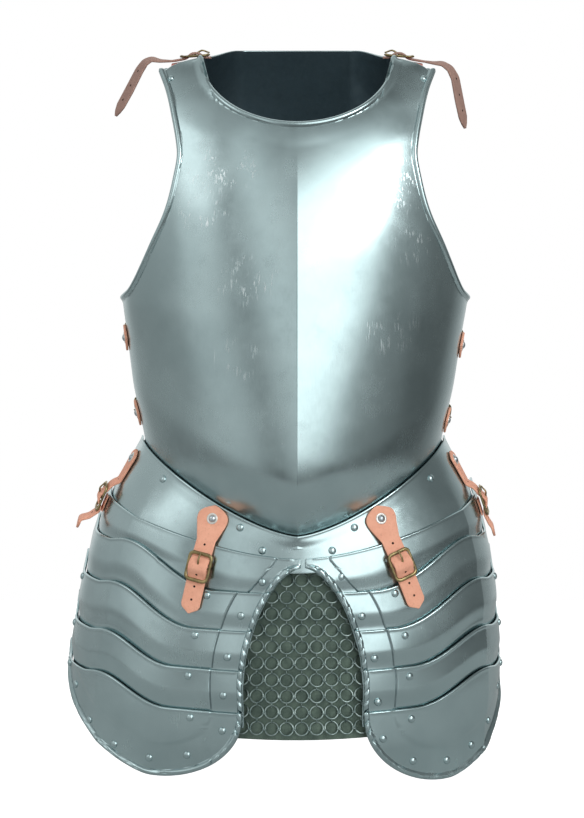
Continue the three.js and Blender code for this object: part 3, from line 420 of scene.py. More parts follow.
def shell(form, outer, inner, inside=0):
    """Closed sheet with rounded rims between two grids; inside is the inner face's material."""
    rows, columns = outer.shape[:2]
    loop = [(0, j) for j in range(columns)] + [(i, columns - 1) for i in range(1, rows)]
    loop += [(rows - 1, j) for j in range(columns - 2, -1, -1)]
    loop += [(i, 0) for i in range(rows - 2, 0, -1)]
    i, j = np.array(loop).T
    in_row = np.clip(i, 1, rows - 2)
    in_column = np.clip(j, 1, columns - 2)
    away = unit(outer[i, j] - outer[in_row, j]) + unit(outer[i, j] - outer[i, in_column])
    half = (outer[i, j] - inner[i, j]) / 2
    centre = (outer[i, j] + inner[i, j]) / 2
    flat = away - unit(half) * (away * unit(half)).sum(-1, keepdims=True)
    size = np.linalg.norm(half, axis=-1, keepdims=True)
    rings = [
        centre + half * math.cos(t) + unit(flat) * size * math.sin(t)
        for t in np.radians([40, 90, 140])
    ]
    points = np.concatenate([outer.reshape(-1, 3), inner.reshape(-1, 3), *rings])
    total = rows * columns
    flip = quads(rows, columns, total)[:, ::-1]
    faces = [quads(rows, columns), flip]
    length = len(loop)
    edge = i * columns + j
    starts = [edge] + [2 * total + k * length + np.arange(length) for k in range(3)] + [edge + total]
    for a, b in zip(starts, starts[1:]):
        faces.append(np.stack([a, b, np.roll(b, -1), np.roll(a, -1)], -1))
    inner_faces = slice(len(form.faces) + len(flip), len(form.faces) + 2 * len(flip))
    form.add(points, outward(points, np.concatenate(faces)))
    form.materials[inner_faces] = [inside] * len(flip)


def turned(p, n, profile, segments=18):
    """Surface turned about the axis n at p, from a list of (radius, height)."""
    p, n = np.asarray(p, float), unit(np.asarray(n, float))
    side = unit(np.cross(n, [0.3, 0.2, 1.0]))
    other = np.cross(n, side)
    turn = np.linspace(0, 2 * math.pi, segments, endpoint=False)
    circle = np.cos(turn)[:, None] * side + np.sin(turn)[:, None] * other
    rings = [p + n * h + circle * r for r, h in profile]
    points = np.concatenate(rings)
    faces = [list(face) for face in quads(len(profile), segments, 0, True)]
    faces.append(list(range(segments))[::-1])
    faces.append(list(range(len(points) - segments, len(points))))
    return points, faces


def dome(form, p, n, radius=4.1, height=2.5, material=0):
    """A rivet's head."""
    bend = np.radians([0, 12, 28, 45, 62, 78])
    profile = [(radius, -1)] + [(radius * math.cos(t), height * math.sin(t)) for t in bend]
    form.add(*turned(p, n, profile), material)


def washer(form, p, n, radius, hole, material):
    """A flat ring under a rivet's head."""
    profile = [(hole, -0.3), (hole, 0.5), (hole + 0.4, 0.75)]
    profile += [(radius - 0.5, 0.7), (radius, 0.3), (radius, -0.3)]
    form.add(*turned(p, n, profile, 24), material)


def sweep(form, centres, ups, sections, material=0, closed=False):
    """Solid swept along centres, with one outline in (side, up) or one for each station."""
    centres = np.asarray(centres, float)
    if closed:
        tangent = np.roll(centres, -1, 0) - np.roll(centres, 1, 0)
    else:
        tangent = np.gradient(centres, axis=0)
    tangent = unit(tangent)
    side = unit(np.cross(tangent, ups))
    up = np.cross(side, tangent)
    s = np.asarray(sections, float)
    points = centres[:, None] + side[:, None] * s[..., :1] + up[:, None] * s[..., 1:]
    rows, columns = points.shape[:2]
    flat = points.reshape(-1, 3)
    faces = quads(rows, columns, 0, True)
    if closed:
        first = np.arange(columns)
        last = first + (rows - 1) * columns
        join = np.stack([last, np.roll(last, -1), np.roll(first, -1), first], -1)
        faces = np.concatenate([faces, join])
    a, b, c = (flat[faces[0, k]] for k in range(3))
    inside_out = np.cross(b - a, c - a) @ ((a + c) / 2 - (centres[0] + centres[1]) / 2) < 0
    faces = [list(face) for face in (faces[:, ::-1] if inside_out else faces)]
    if not closed:
        start = list(range(columns))
        end = list(range((rows - 1) * columns, rows * columns))
        faces += [start, end[::-1]] if inside_out else [start[::-1], end]
    form.add(flat, faces, material)


def oval(width, height, sides=10):
    turn = np.linspace(0, 2 * math.pi, sides, endpoint=False)
    return np.stack([np.cos(turn) * width / 2, np.sin(turn) * height / 2], -1)


def strip_section(width, thickness):
    """Outline of a leather strap's cut: flat faces with rounded edges."""
    width = np.atleast_1d(np.asarray(width, float))[:, None]
    r = np.minimum(0.42 * thickness, 0.45 * width)
    turn = np.radians([-90, -45, 0, 45, 90])
    right_x = width / 2 - r + r * np.cos(turn)
    right_y = np.sign(np.sin(turn)) * (thickness / 2 - r) + r * np.sin(turn)
    right = np.stack([right_x, right_y], -1)
    share = np.array([0.5, 0, -0.5])
    top = np.stack([width * 0.5 * share, np.full(width.shape, thickness / 2) * np.ones(3)], -1)
    left = right[:, ::-1] * [-1, 1]
    bottom = top[:, ::-1] * [1, -1]
    return np.concatenate([right, top, left, bottom], 1)


def eased(values, window):
    """Values with their corners rounded over a number of stations."""
    values = np.asarray(values, float)
    half = window // 2
    before = 2 * values[:1] - values[half:0:-1]
    after = 2 * values[-1:] - values[-2:-half - 2:-1]
    padded = np.concatenate([before, values, after])
    total = np.cumsum(np.concatenate([np.zeros((1,) + values.shape[1:]), padded]), 0)
    size = 2 * half + 1
    return (total[size:] - total[:-size]) / size


def near_edge(points, edge):
    """Distance of each point to a line of points, and the length along the line there."""
    step = np.linalg.norm(np.diff(edge, axis=0), axis=-1)
    length = np.concatenate([[0], np.cumsum(step)])
    flat = points.reshape(-1, 3)
    best = np.full(len(flat), 1e9)
    along = np.zeros(len(flat))
    a, b = edge[:-1], edge[1:]
    ab = b - a
    size = np.maximum((ab * ab).sum(-1), 1e-12)
    for start in range(0, len(flat), CHUNK):
        part = slice(start, start + CHUNK)
        p = flat[part, None]
        t = clip01(((p - a) * ab).sum(-1) / size)
        d = np.linalg.norm(a + ab * t[..., None] - p, axis=-1)
        k = d.argmin(1)
        rows = np.arange(len(k))
        best[part] = d[rows, k]
        along[part] = length[k] + t[rows, k] * step[k]
    return best.reshape(points.shape[:-1]), along.reshape(points.shape[:-1])


def roll(distance, radius=ROLL):
    """Height of a rolled edge over the sheet."""
    u = (distance - radius) / radius
    return radius * np.sqrt(np.maximum(0, 1 - u * u))


# Torso plates
def torso_grid(wrap, neck, shares, rows, point, low_z, skirt):
    """Dense grid of a torso plate, its normals and its columns' end heights."""
    neck_low, neck_x, neck_z = neck
    bead = np.array([10, 8.6, 7.4, 6.6, 6.2, 5.6, 4.8, 3.9, 3.1, 2.3, 1.5, 0.9, 0.4, 0.0])
    strip = (bead[0] + 0.4) / TORSO_RADIUS

    def bare(c, z):
        return warp(c, edge_angle(z, wrap) - strip, wrap - strip)

    half = look(TORSO, "half", neck_z)
    top = bisect(lambda c: bare(c, neck_z), 0, 1, np.arcsin(np.minimum(1, neck_x / half)))
    low = np.concatenate([neck_low, mix(neck_low[-1], 0.96, shares)])
    top = np.concatenate([top, mix(top[-1], 1, shares)])
    end = np.concatenate([neck_z, mix(neck_z[-1], SHOULDER_OUTER_Z, shares)])
    end = np.concatenate([end, np.full(len(bead), float(SHOULDER_OUTER_Z))])

    def angle_of(z):
        inner = bare(mix(low, top, smooth((z[:, : len(low)] - 120) / 220)), z[:, : len(low)])
        outer = edge_angle(z[:, len(low) :], wrap) - bead / TORSO_RADIUS
        return np.concatenate([inner, outer], 1)

    count = len(end)
    foot = low_z(angle_of(np.zeros((1, count))))
    level = rows["level"]
    heights = np.concatenate([
        mix(foot, level[0], rows["low"][:, None]),
        np.repeat(level[:, None], count, 1),
        mix(level[-1], end - bead[0], rows["high"][:, None]),
        end - bead[:, None],
    ])
    angles = angle_of(heights)
    at_foot = angle_of(foot)
    grids, normals = [], []
    for sign in (-1, 1):
        body, n = face_at(point, sign * angles, heights)
        flange = np.stack([skirt(sign * at_foot[0], foot[0], d) for d in (FLANGE, 9, 6, 3, 1)])
        grid = np.concatenate([flange, body])
        steep = np.repeat(n[:1], len(flange), 0)
        across = np.gradient(flange, axis=1)
        upward = np.gradient(grid[: len(flange) + 1], axis=0)[: len(flange)]
        turned_out = unit(np.cross(across, upward))
        turned_out *= np.sign((turned_out * steep).sum(-1, keepdims=True))
        grids.append(grid)
        normals.append(np.concatenate([turned_out, n]))
    join = [np.concatenate([g[0][:, :0:-1], g[1]], 1) for g in (grids, normals)]
    return join[0], join[1], len(neck_x)


def rolled_plate(form, grid, normals, necks, foot_z, depth=ROLL):
    """Torso plate with its neck and armholes rolled outwards."""
    middle = grid.shape[1] // 2
    neck = grid[-1, middle - necks + 1 : middle + necks]
    height = roll(near_edge(grid, neck)[0], depth)
    for column in (0, -1):
        side = grid[:, column]
        arm = side[side[:, 2] > foot_z]
        distance = near_edge(grid, arm)[0]
        risen = smooth((grid[..., 2] - foot_z) / 10)
        height = np.maximum(height, roll(distance, depth) * risen)
    shell(form, grid + normals * height[..., None], grid - normals * SHEET, 1)


def neck_degrees():
    near = np.array([0, 0.35, 0.8, 1.6, 3, 5])
    return np.concatenate([near, np.arange(7.5, 84, 2.2), np.linspace(84.5, 90, 6)])


def breastplate():
    deg = neck_degrees()
    turn = np.radians(deg)
    neck_z = SHOULDER_INNER_Z - NECK_DEPTH * np.cos(turn)
    neck = (0.7 * deg / 90, NECK_HALF_WIDTH * np.sin(turn), neck_z)
    rows = {
        "low": np.linspace(0, 1, 44)[:-1] ** 1.25,
        "level": np.concatenate([
            [140, 145, 150, 154], np.arange(157, 200, 1.15), np.arange(201, 216, 2.5),
        ]),
        "high": np.linspace(0, 1, 46)[1:-1],
    }
    shares = np.concatenate([[0.02, 0.05, 0.09, 0.14, 0.2], np.linspace(0.3, 1, 8)])

    def flange(angle, z, d):
        down = np.full(np.shape(angle), float(d))
        return breast_point(angle, z) + skirt_growth(angle, down, SKIRT_LEAN)

    grid, normals, necks = torso_grid(
        math.radians(SIDE_WRAP_DEG), neck, shares, rows, breast_point, waist_z, flange
    )
    form = Form()
    rolled_plate(form, grid, normals, necks, ARMHOLE_BOTTOM_Z - 4)
    for sign in (-1, 1):
        angle = sign * (edge_angle(393.0, math.radians(SIDE_WRAP_DEG)) - 12 / TORSO_RADIUS)
        dome(form, *face_at(breast_point, angle, 393.0), radius=3.4, height=2.2)
    return form


def culet_growth(angle, d):
    side = look(FLARE, "side", d) * CULET_FLARE
    return vec(side * np.sin(angle), 0.62 * d * np.cos(angle), -d)


def backplate():
    x = np.concatenate([np.linspace(0, 90, 26), [92, 94, 95.5, 96.7, 97.6, 98.4, NECK_HALF_WIDTH]])
    neck = (0.72 * x / NECK_HALF_WIDTH, x, mix(NAPE_Z, SHOULDER_INNER_Z, smooth((x - 66) / 33)))
    rows = {
        "low": np.linspace(0, 1, 34)[:-1],
        "level": np.concatenate([[140, 148, 154], np.arange(157, 200, 1.6), [203, 207]]),
        "high": np.linspace(0, 1, 34)[1:-1],
    }
    shares = np.array([0.04, 0.1, 0.2, 0.35, 0.5, 0.65, 0.8, 1])
    grid, normals, necks = torso_grid(
        math.radians(BACK_WRAP_DEG), neck, shares, rows, back_point,
        lambda a: np.full(np.shape(a), float(WAIST_SIDE_Z)),
        lambda a, z, d: back_point(a, z) + culet_growth(a, d),
    )
    form = Form()
    rolled_plate(form, grid, normals, necks, ARMHOLE_BOTTOM_Z + 12)
    return form


# Skirt plates
def grid_normals(grid):
    across = np.gradient(grid, axis=1)
    down = np.gradient(grid, axis=0)
    n = unit(np.cross(down, across))
    flat = n[..., :2] * grid[..., :2]
    return n * np.where(flat.sum(-1) < 0, -1, 1)[..., None]


def fauld():
    edge = math.pi / 2 + 0.15
    near = np.array([0, 0.004, 0.01, 0.02, 0.04])
    half = np.concatenate([near, np.linspace(0.06, 1, 66)]) * edge
    angles = np.concatenate([-half[:0:-1], half])
    side = np.where(angles < 0, -1, 1)
    top = skirt_waist(angles)[:, 2]
    low = lame_top(1, angles, side) - LAME_OVERLAP
    t = np.concatenate([[0, 0.006, 0.014, 0.024, 0.036, 0.05], np.linspace(0.09, 1, 20)])
    z = mix(top, low, t[:, None])
    grid = skirt_point(np.broadcast_to(angles, z.shape), z)
    lip = 0.75 * np.exp(-(((top - z) / 1.6) ** 2))
    normals = grid_normals(grid)
    form = Form()
    shell(form, grid + normals * lip[..., None], grid - normals * SHEET, 1)
    for sign in (-1, 1):
        for x, height in FAULD_RIVETS:
            dome(form, *face_at(skirt_point, angle_at_x(sign * x, height), height))
    return form


def culet():
    angles = np.linspace(-CULET_EDGE, CULET_EDGE, 101)
    out = vec(np.sin(angles), np.cos(angles), 0) * LAP_GAP
    t = np.concatenate([np.linspace(0, 0.9, 14), [0.93, 0.955, 0.97, 0.98, 0.99, 1]])
    grid = np.stack([
        back_point(angles, np.full(angles.shape, float(WAIST_SIDE_Z))) + out
        + culet_growth(angles, np.full(angles.shape, u * CULET_HEIGHT))
        for u in t
    ])
    normals = grid_normals(grid)
    rim = roll((1 - t) * CULET_HEIGHT, 1.6)
    form = Form()
    shell(form, grid + normals * rim[:, None, None], grid - normals * SHEET, 1)
    return form


def last_lame_step(down):
    """Share of the full step at which lame 5 stands out, a distance below its top edge."""
    return smooth((TAPER[0] - down) / TAPER[1])


def lame(k, side):
    """One lame of a tasset, with its roped roll, sunk border and rivets."""
    crease = side * (CREASE + side * SKIRT_TURN)
    tail = side * ((LAST_TAIL_END if k == 5 else TAIL_END) + side * SKIRT_TURN)
    near = np.concatenate([
        [0, 0.35, 0.9, 1.6, 2.4, 3.2, 4, 4.8, 5.4, 5.9, 6.3, 6.8, 7.6, 9],
        np.linspace(11.5, BORDER_WIDTH - 3, 30 if k == 1 else 9),
        BORDER_WIDTH + np.array([-1.6, -0.8, 0, 0.8, 1.6]),
    ])
    far = np.concatenate([np.linspace(0.03, 0.9, 26), [0.93, 0.955, 0.975, 0.99, 1]])
    back = np.concatenate([[0.01, 0.03, 0.06, 0.1], np.linspace(0.15, 1, 22)])
    if k == 5:
        fine = np.array([1.6, 1, 0.5, 0])
        t = np.concatenate([[0, 0.5, 1, 1.8, 3], np.linspace(4.5, 66, 44)]) / LAST_HEIGHT
        t = np.concatenate([t, np.linspace(t[-1], 1, 14)[1:-1], 1 - fine / LAST_HEIGHT])
        t = np.unique(np.round(t, 5))
    else:
        t = np.concatenate([[0, 0.008, 0.02, 0.035, 0.055], np.linspace(0.08, 1, 42)])

    def angle_of(z):
        inner = ARCH_CENTRE_X + side * arch_half_width(z)
        first = angle_at_x(inner[..., : len(near)] + side * near, z[..., : len(near)])
        columns_z = z[..., len(near) : len(near) + len(far)]
        start_x = ARCH_CENTRE_X + side * (arch_half_width(columns_z) + near[-1])
        start = angle_at_x(start_x, columns_z)
        second = mix(start, crease, far)
        third = np.broadcast_to(mix(crease, tail, back), z.shape[:-1] + back.shape)
        return np.concatenate([first, second, third], -1)

    count = len(near) + len(far) + len(back)
    top = np.full(count, float(LAME_1_TOP if k == 1 else LAMES[k - 2]["top"]))
    for _ in range(6):
        top = lame_top(k, angle_of(top), side)
    upper = skirt_point(angle_of(top), top)
    step = np.linalg.norm(np.diff(upper[:, :2], axis=0), axis=-1)
    along = np.concatenate([[0], np.cumsum(step)])
    low = top - 40
    for _ in range(8):
        low = np.minimum(lame_bottom(k, angle_of(low), side, along), top - 6)
    z = mix(top, low, t[:, None])
    down = top - z
    proud = last_lame_step(down) if k == 5 else smooth((0.72 - t) / 0.36)[:, None]
    grid = skirt_point(angle_of(z), z, LAME_STEP * proud)
    normals = grid_normals(grid)

    edge = grid[:, 0]
    if k == 5:
        edge = np.concatenate([edge, grid[-1, 1:]])
    distance, length = near_edge(grid, edge)
    covered = 1.0 if k == 5 else smooth((0.8 - t) / 0.14)[:, None]
    phase = (length + ROPE_SLANT * distance) / ROPE_PITCH
    notch = np.exp(-((((phase + 0.5) % 1) - 0.5) * ROPE_PITCH / ROPE_NOTCH) ** 2)
    ease = smooth(distance / 1.2)
    bead = roll(distance, 3.0) * (1 - 0.62 * notch * ease)
    if k == 5:
        inset = distance - BORDER_WIDTH
        shown = 1.0
    else:
        inset = np.concatenate([near, np.full(count - len(near), near[-1])]) - BORDER_WIDTH
        if k == 1:
            start_z, end_z = LAME_1_LINE_Z
            line = mix(*LAME_1_LINE_X, clip01((start_z - grid[..., 2]) / (start_z - end_z)))
            inset = np.abs(grid[..., 0] - ARCH_CENTRE_X) - line
            covered = covered * smooth((-100 - grid[..., 2]) / 5)
        shown = smooth((0.78 - t) / 0.1)[:, None]
    deep = smooth((inset + 0.8) / 1.6) * shown
    groove = GROOVE_DEPTH * np.exp(-(((inset + 0.8) / 0.8) ** 2)) * shown
    lip = 0.5 * np.exp(-((down / 1.3) ** 2)) * smooth((distance - 6) / 4)
    height = np.maximum(bead * covered, BORDER_DEPTH * deep + lip - groove)
    form = Form()
    shell(form, grid + normals * height[..., None], grid - normals * SHEET, 1)
    # Faces along the border's groove take the third material, a dark steel that is painted shade in the
    # groove
    if k < 5:
        at = (groove[1:, 1:] + groove[:-1, 1:] + groove[1:, :-1] + groove[:-1, :-1]) / 4
        for face in np.flatnonzero(at > GROOVE_DEPTH * 0.5):
            form.materials[face] = 2
    lame_rivets(form, k, side)
    return form


def lame_rivets(form, k, side):
    """Rivets in the sunk border, near the top edge, at the back and along the hem."""
    full = LAME_STEP + BORDER_DEPTH

    def stud(angle, at_z, offset):
        dome(form, *face_at(lambda a, h: skirt_point(a, h, offset), angle, at_z))

    def by_arch(inset, at_z, offset):
        x = ARCH_CENTRE_X + side * (arch_half_width(at_z) + inset)
        stud(angle_at_x(x, at_z), at_z, offset)

    by_arch(*BORDER_RIVETS[side][k - 1])
    if k > 1:
        by_arch(*EDGE_RIVETS[side][k - 2], full)
    if k > 2:
        angle = side * REAR_LINING
        stud(angle, float(lame_top(k, angle, side)) - 5, full)
    if k == 5:
        for degrees, at_z in HEM_RIVETS[side]:
            angle = side * math.radians(degrees)
            stud(angle, at_z, LAME_STEP * last_lame_step(float(lame_top(5, angle, side)) - at_z))


# Mail
RING_PITCH = (15.75, 16.95)
RING_CENTRE = (4.6, -271.3)
RING_RADIUS = 6.95
RING_WIRE = 1.6
RING_LEAN = (26, 3)  # degrees, and how far they vary
RING_SWING = 4
LINK_RADIUS = 2.3
LINK_WIRE = 1.1
MAIL_ROWS = 11
MAIL_COLUMNS = (-5, 5)
MAIL_HALF_WIDTH = 74
MAIL_DEPTH = -6.0
CLOTH_DEPTH = MAIL_DEPTH - 2.9


def mail_frame(x, z):
    """Point of the mail's middle, its outward normal, and the directions across and up."""
    p, n = face_at(lambda a, h: skirt_point(a, h, MAIL_DEPTH), angle_at_x(x, z), z)
    up = unit(np.array([0, 0, 1.0]) - n * n[2])
    return p, n, np.cross(up, n), up


def ring(form, p, normal, across, radius, wire, sides=8, steps=28):
    other = np.cross(normal, across)
    turn = np.linspace(0, 2 * math.pi, steps, endpoint=False)
    centres = p + radius * (np.cos(turn)[:, None] * across + np.sin(turn)[:, None] * other)
    sweep(form, centres, normal, oval(wire, wire, sides), closed=True)


def mail():
    """Flat-lying rings in rows, joined to their neighbours by small rings on edge."""
    form = Form()
    for row in range(MAIL_ROWS):
        z = RING_CENTRE[1] + row * RING_PITCH[1]
        for column in range(*MAIL_COLUMNS):
            x = RING_CENTRE[0] + column * RING_PITCH[0]
            if abs(x - ARCH_CENTRE_X) > MAIL_HALF_WIDTH:
                continue
            p, n, across, up = mail_frame(x, z)
            lean = math.radians(RING_LEAN[0] + RING_LEAN[1] * math.sin(row * 2.1 + column * 1.7))
            swing = math.radians(RING_SWING * math.sin(row * 1.3 - column * 2.3))
            tilted = unit(n * math.cos(lean) + up * math.sin(lean) + across * math.sin(swing))
            shift = 0.3 * math.sin(row * 3.7 + column)
            side = unit(across - tilted * (across @ tilted))
            ring(form, p + up * shift, tilted, side, RING_RADIUS, RING_WIRE)
            joint, n, across, up = mail_frame(x + RING_PITCH[0] / 2, z - 1.2)
            ring(form, joint + n * 0.2, up, across, LINK_RADIUS, LINK_WIRE, 6, 16)
            if row < MAIL_ROWS - 1:
                joint, n, across, up = mail_frame(x, z + RING_PITCH[1] / 2)
                ring(form, joint - n * 0.1, across, up, LINK_RADIUS + 0.3, LINK_WIRE, 6, 16)
    return form


def backing():
    """Cloth behind the mail."""
    form = Form()
    x = np.linspace(-80, 80, 61)
    z = np.linspace(-100, -284, 70)
    zz, xx = np.meshgrid(z, x, indexing="ij")
    angle = angle_at_x(ARCH_CENTRE_X + xx, zz)
    swell = 0.35 * np.sin(xx / 7.9 * math.pi) * np.cos(zz / 8.5 * math.pi)
    grid = skirt_point(angle, zz, CLOTH_DEPTH)
    normals = grid_normals(grid)
    outer = grid + normals * swell[..., None]
    shell(form, outer, outer - normals * 0.8)
    return form


# Leather and buckles
BUCKLE_CORNER = 5.0
PRONG_LIFT = BAR / 2 + STRAP_THICKNESS + 1.4
# Half-outline of a strap's wide head: how far above the rivet, and width, as shares of its width
HEAD_OUTLINE = [
    (0.42, 0.06), (0.40, 0.2), (0.35, 0.42), (0.29, 0.66), (0.2, 0.88), (0.12, 0.97), (0.03, 1.0),
    (-0.08, 0.99), (-0.2, 0.93), (-0.33, 0.83), (-0.48, 0.73), (-0.62, 0.67), (-0.78, 0.635),
]
# Distance from the middle, height, lean and turn of the face in degrees, and width
SHOULDER_STRAP = [
    (91, 414.6, 2, 0, 20), (98, 414.6, 2, 0, 20), (104.5, 419.3, 4, 0, 20), (111, 418.9, 4, 0, 20),
    (117.5, 413.6, 8, 0, 20), (122, 412.5, 8, 0, 20), (132, 410.8, 8, 0, 20),
]
SHOULDER_END = {
    -1: [
        (145, 411, 0, 5, 20), (154, 413, 5, 12, 20), (161, 409.5, 35, 20, 20), (167, 401, 58, 26, 20),
        (178, 380, 64, 28, 20), (187, 364, 64, 28, 19), (190.5, 357.5, 64, 28, 12), (192.5, 353, 64, 28, 3),
    ],
    1: [
        (145, 408.8, 4, 5, 20), (154, 408.2, 12, 12, 20), (162, 403, 42, 20, 20), (167.5, 393, 66, 26, 20),
        (172, 370, 78, 28, 20), (176, 352, 78, 28, 19), (177.5, 345, 78, 28, 12), (178.5, 340, 78, 28, 3),
    ],
}
SHOULDER_BUCKLE = (108, 416.5)
SHOULDER_LEAN = math.radians(4)


def strap_piece(node, form, material, more=()):
    made = piece(f"{node}_leather", form, [material, *more], [node], sharp=55)
    return made


def along_path(face, knots, step, window):
    """Dense stations of a strap from knots of (length, out, width)."""
    knots = np.array(sorted(knots), float)
    count = int((knots[-1, 0] - knots[0, 0]) / step) + 1
    lengths = np.linspace(knots[0, 0], knots[-1, 0], count)
    out = eased(np.interp(lengths, knots[:, 0], knots[:, 1]), window)
    width = np.interp(lengths, knots[:, 0], knots[:, 2])
    p, n = face(lengths)
    return lengths, p + n * out[:, None], n, width


def buckle(name, p, along, across, up):
    """Rounded frame, centre bar and a prong that comes up through the strap to the far bar."""
    form = Form()
    hw, hl, r = BUCKLE_WIDTH / 2 - BUCKLE_WIRE, BUCKLE_LENGTH / 2, BUCKLE_CORNER
    corners = []
    for x, y, start in ((1, 1, 0), (-1, 1, 90), (-1, -1, 180), (1, -1, 270)):
        for t in np.radians(np.linspace(start, start + 90, 7)):
            corners.append((x * (hw - r) + r * math.cos(t), y * (hl - r) + r * math.sin(t)))
    corners = np.array(corners)
    dense = []
    for a, b in zip(corners, np.roll(corners, -1, 0)):
        parts = max(1, int(np.linalg.norm(b - a) / 2.5))
        dense.extend(a + (b - a) * i / parts for i in range(parts))
    dense = np.array(dense)
    bow = 0.9 * (dense[:, 0] / hw) ** 2 - 0.5
    centres = p + dense[:, :1] * across + dense[:, 1:] * along - bow[:, None] * up
    thick = 2.9 + 0.9 * smooth((np.abs(dense[:, 1]) - hl + 6) / 5)
    sweep(form, centres, up, np.stack([oval(w, 2.5) for w in thick]), closed=True)
    sweep(form, p + np.linspace(-hw, hw, 9)[:, None] * across, up, oval(BAR, BAR))
    u = np.linspace(0, 1, 16)
    height = mix(BAR / 2 + 0.8, PRONG_LIFT, smooth(u / 0.5))
    height = height - (PRONG_LIFT - 2.4) * smooth((u - 0.5) / 0.5)
    prong = p + along * (-u * (hl + 1.8))[:, None] + up * height[:, None]
    width = mix(2.5, 1.7, u)
    width[-1] = 0.9
    sweep(form, prong, up, np.stack([oval(w, 0.8 * w + 0.2, 8) for w in width]))
    sweep(form, p + np.linspace(-2.2, 2.2, 5)[:, None] * across, up, oval(3.6, 3.4))
    piece(f"buckle_{name}_brass", form, [BRASS], [f"buckle_{name}"], 60)


def holes(form, p, n, stations, reach, material):
    """Punched holes on a strap's upper face, at some of its stations: flat discs coloured near-black as
    painted shade inside the holes.
    """
    for i in stations:
        tangent = p[min(i + reach, len(p) - 1)] - p[max(i - reach, 0)]
        up = unit(np.cross(np.cross(tangent, n[i]), tangent))
        profile = [(1.25, -0.4), (1.25, 0.04), (0.6, 0.05)]
        form.add(*turned(p[i] + up * STRAP_THICKNESS / 2, up, profile, 12), material)


def buckled_strap(name, face, head, lap_at, bar_at, tip, tip_out, chape_length, rests_on):
    """A strap under the buckle's outer bars and over its centre bar, its chape and its buckle."""

    def ground(l):
        return step if any(l > start for start in lap_at) else 0.0

    def at(l, out=0.0):
        p, n = face(np.array([float(l)]))
        return p[0] + n[0] * out, n[0]

    step = LAME_STEP + BORDER_DEPTH
    centre = bar_at + BUCKLE_LENGTH / 2
    end = bar_at + BUCKLE_LENGTH
    rest = STRAP_THICKNESS / 2 + CLEAR
    head_out = rest + 0.3
    under = BUCKLE_WIRE + rest + 0.1
    bar_out = ground(centre) + 2 * CLEAR + STRAP_THICKNESS + CHAPE_THICKNESS + BUCKLE_WIRE + 0.7
    middle = bar_out + BAR / 2 + rest
    w = STRAP_WIDTH
    knots = [(-head * f, head_out, head * g) for f, g in HEAD_OUTLINE if f > -0.3]
    for start in lap_at:
        if 10 < start < bar_at - 2:
            knots.append((start - 5, ground(start - 5) + rest, w + 1))
            knots.append((start - 0.5, step + rest + 0.15, w))
    low = bar_out - under
    knots += [
        (bar_at, low, w), (bar_at + 4.5, low + 0.8, w), (centre - 3, middle, w),
        (centre + 3, middle, w), (end - 4.5, low + 0.8, w), (end, low, w),
        (mix(end, tip, 0.4), mix(low, tip_out, 0.5), w),
        (tip - 12, tip_out, w), (tip - 9, tip_out, w), (tip - 5.5, tip_out, w * 0.86),
        (tip - 1.6, tip_out, w * 0.3), (tip, tip_out, 2.0),
    ]
    last_head = max(-head * f for f, _ in HEAD_OUTLINE)
    knots = [k for k in knots if k[2] != w + 1 or k[0] > last_head]
    lengths, p, n, width = along_path(face, knots, 0.8, 5)
    form = Form()
    sweep(form, p, n, strip_section(width, STRAP_THICKNESS))
    top = STRAP_THICKNESS / 2
    washer(form, *at(0, head_out + top - 0.1), 6.0, 4.0, 1)
    dome(form, *at(0, head_out + top + 0.1), 3.9, 2.6, 2)
    spots = (bar_at - 9.5, bar_at + 21.5, end + 7.5, end + 22)
    stations = [int(np.abs(lengths - l).argmin()) for l in spots if l < tip - 12]
    holes(form, p, n, stations, 2, 3)
    strap_piece(f"strap_{name}", form, LEATHER, more=[TIN, STEEL_RIVET, HOLE_SHADE])
    low = ground(centre) + CLEAR + CHAPE_THICKNESS / 2
    w = STRAP_WIDTH - 3
    knots = [(centre - 3.5, low, w - 2), (centre - 1, low + 0.05, w), (centre + chape_length, low, w)]
    _, p, n, width = along_path(face, knots, 1.2, 3)
    form = Form()
    sweep(form, p, n, strip_section(width, CHAPE_THICKNESS))
    strap_piece(f"chape_{name}", form, LEATHER)
    p, up = at(centre, bar_out)
    along = unit(at(centre + 2)[0] - at(centre - 2)[0])
    across = unit(np.cross(along, up))
    buckle(name, p, along, across, unit(np.cross(across, along)))


def dense_line(p, n, w, step, window):
    """More stations along a line of points, with its corners rounded."""
    p, n, w = np.asarray(p, float), np.asarray(n, float), np.asarray(w, float)
    length = np.concatenate([[0], np.cumsum(np.linalg.norm(np.diff(p, axis=0), axis=-1))])
    at = np.linspace(0, length[-1], int(length[-1] / step) + 1)

    def fill(v):
        return eased(np.stack([np.interp(at, length, v[:, k]) for k in range(3)], -1), window)

    return fill(p), unit(fill(n)), np.interp(at, length, w), length[-1]


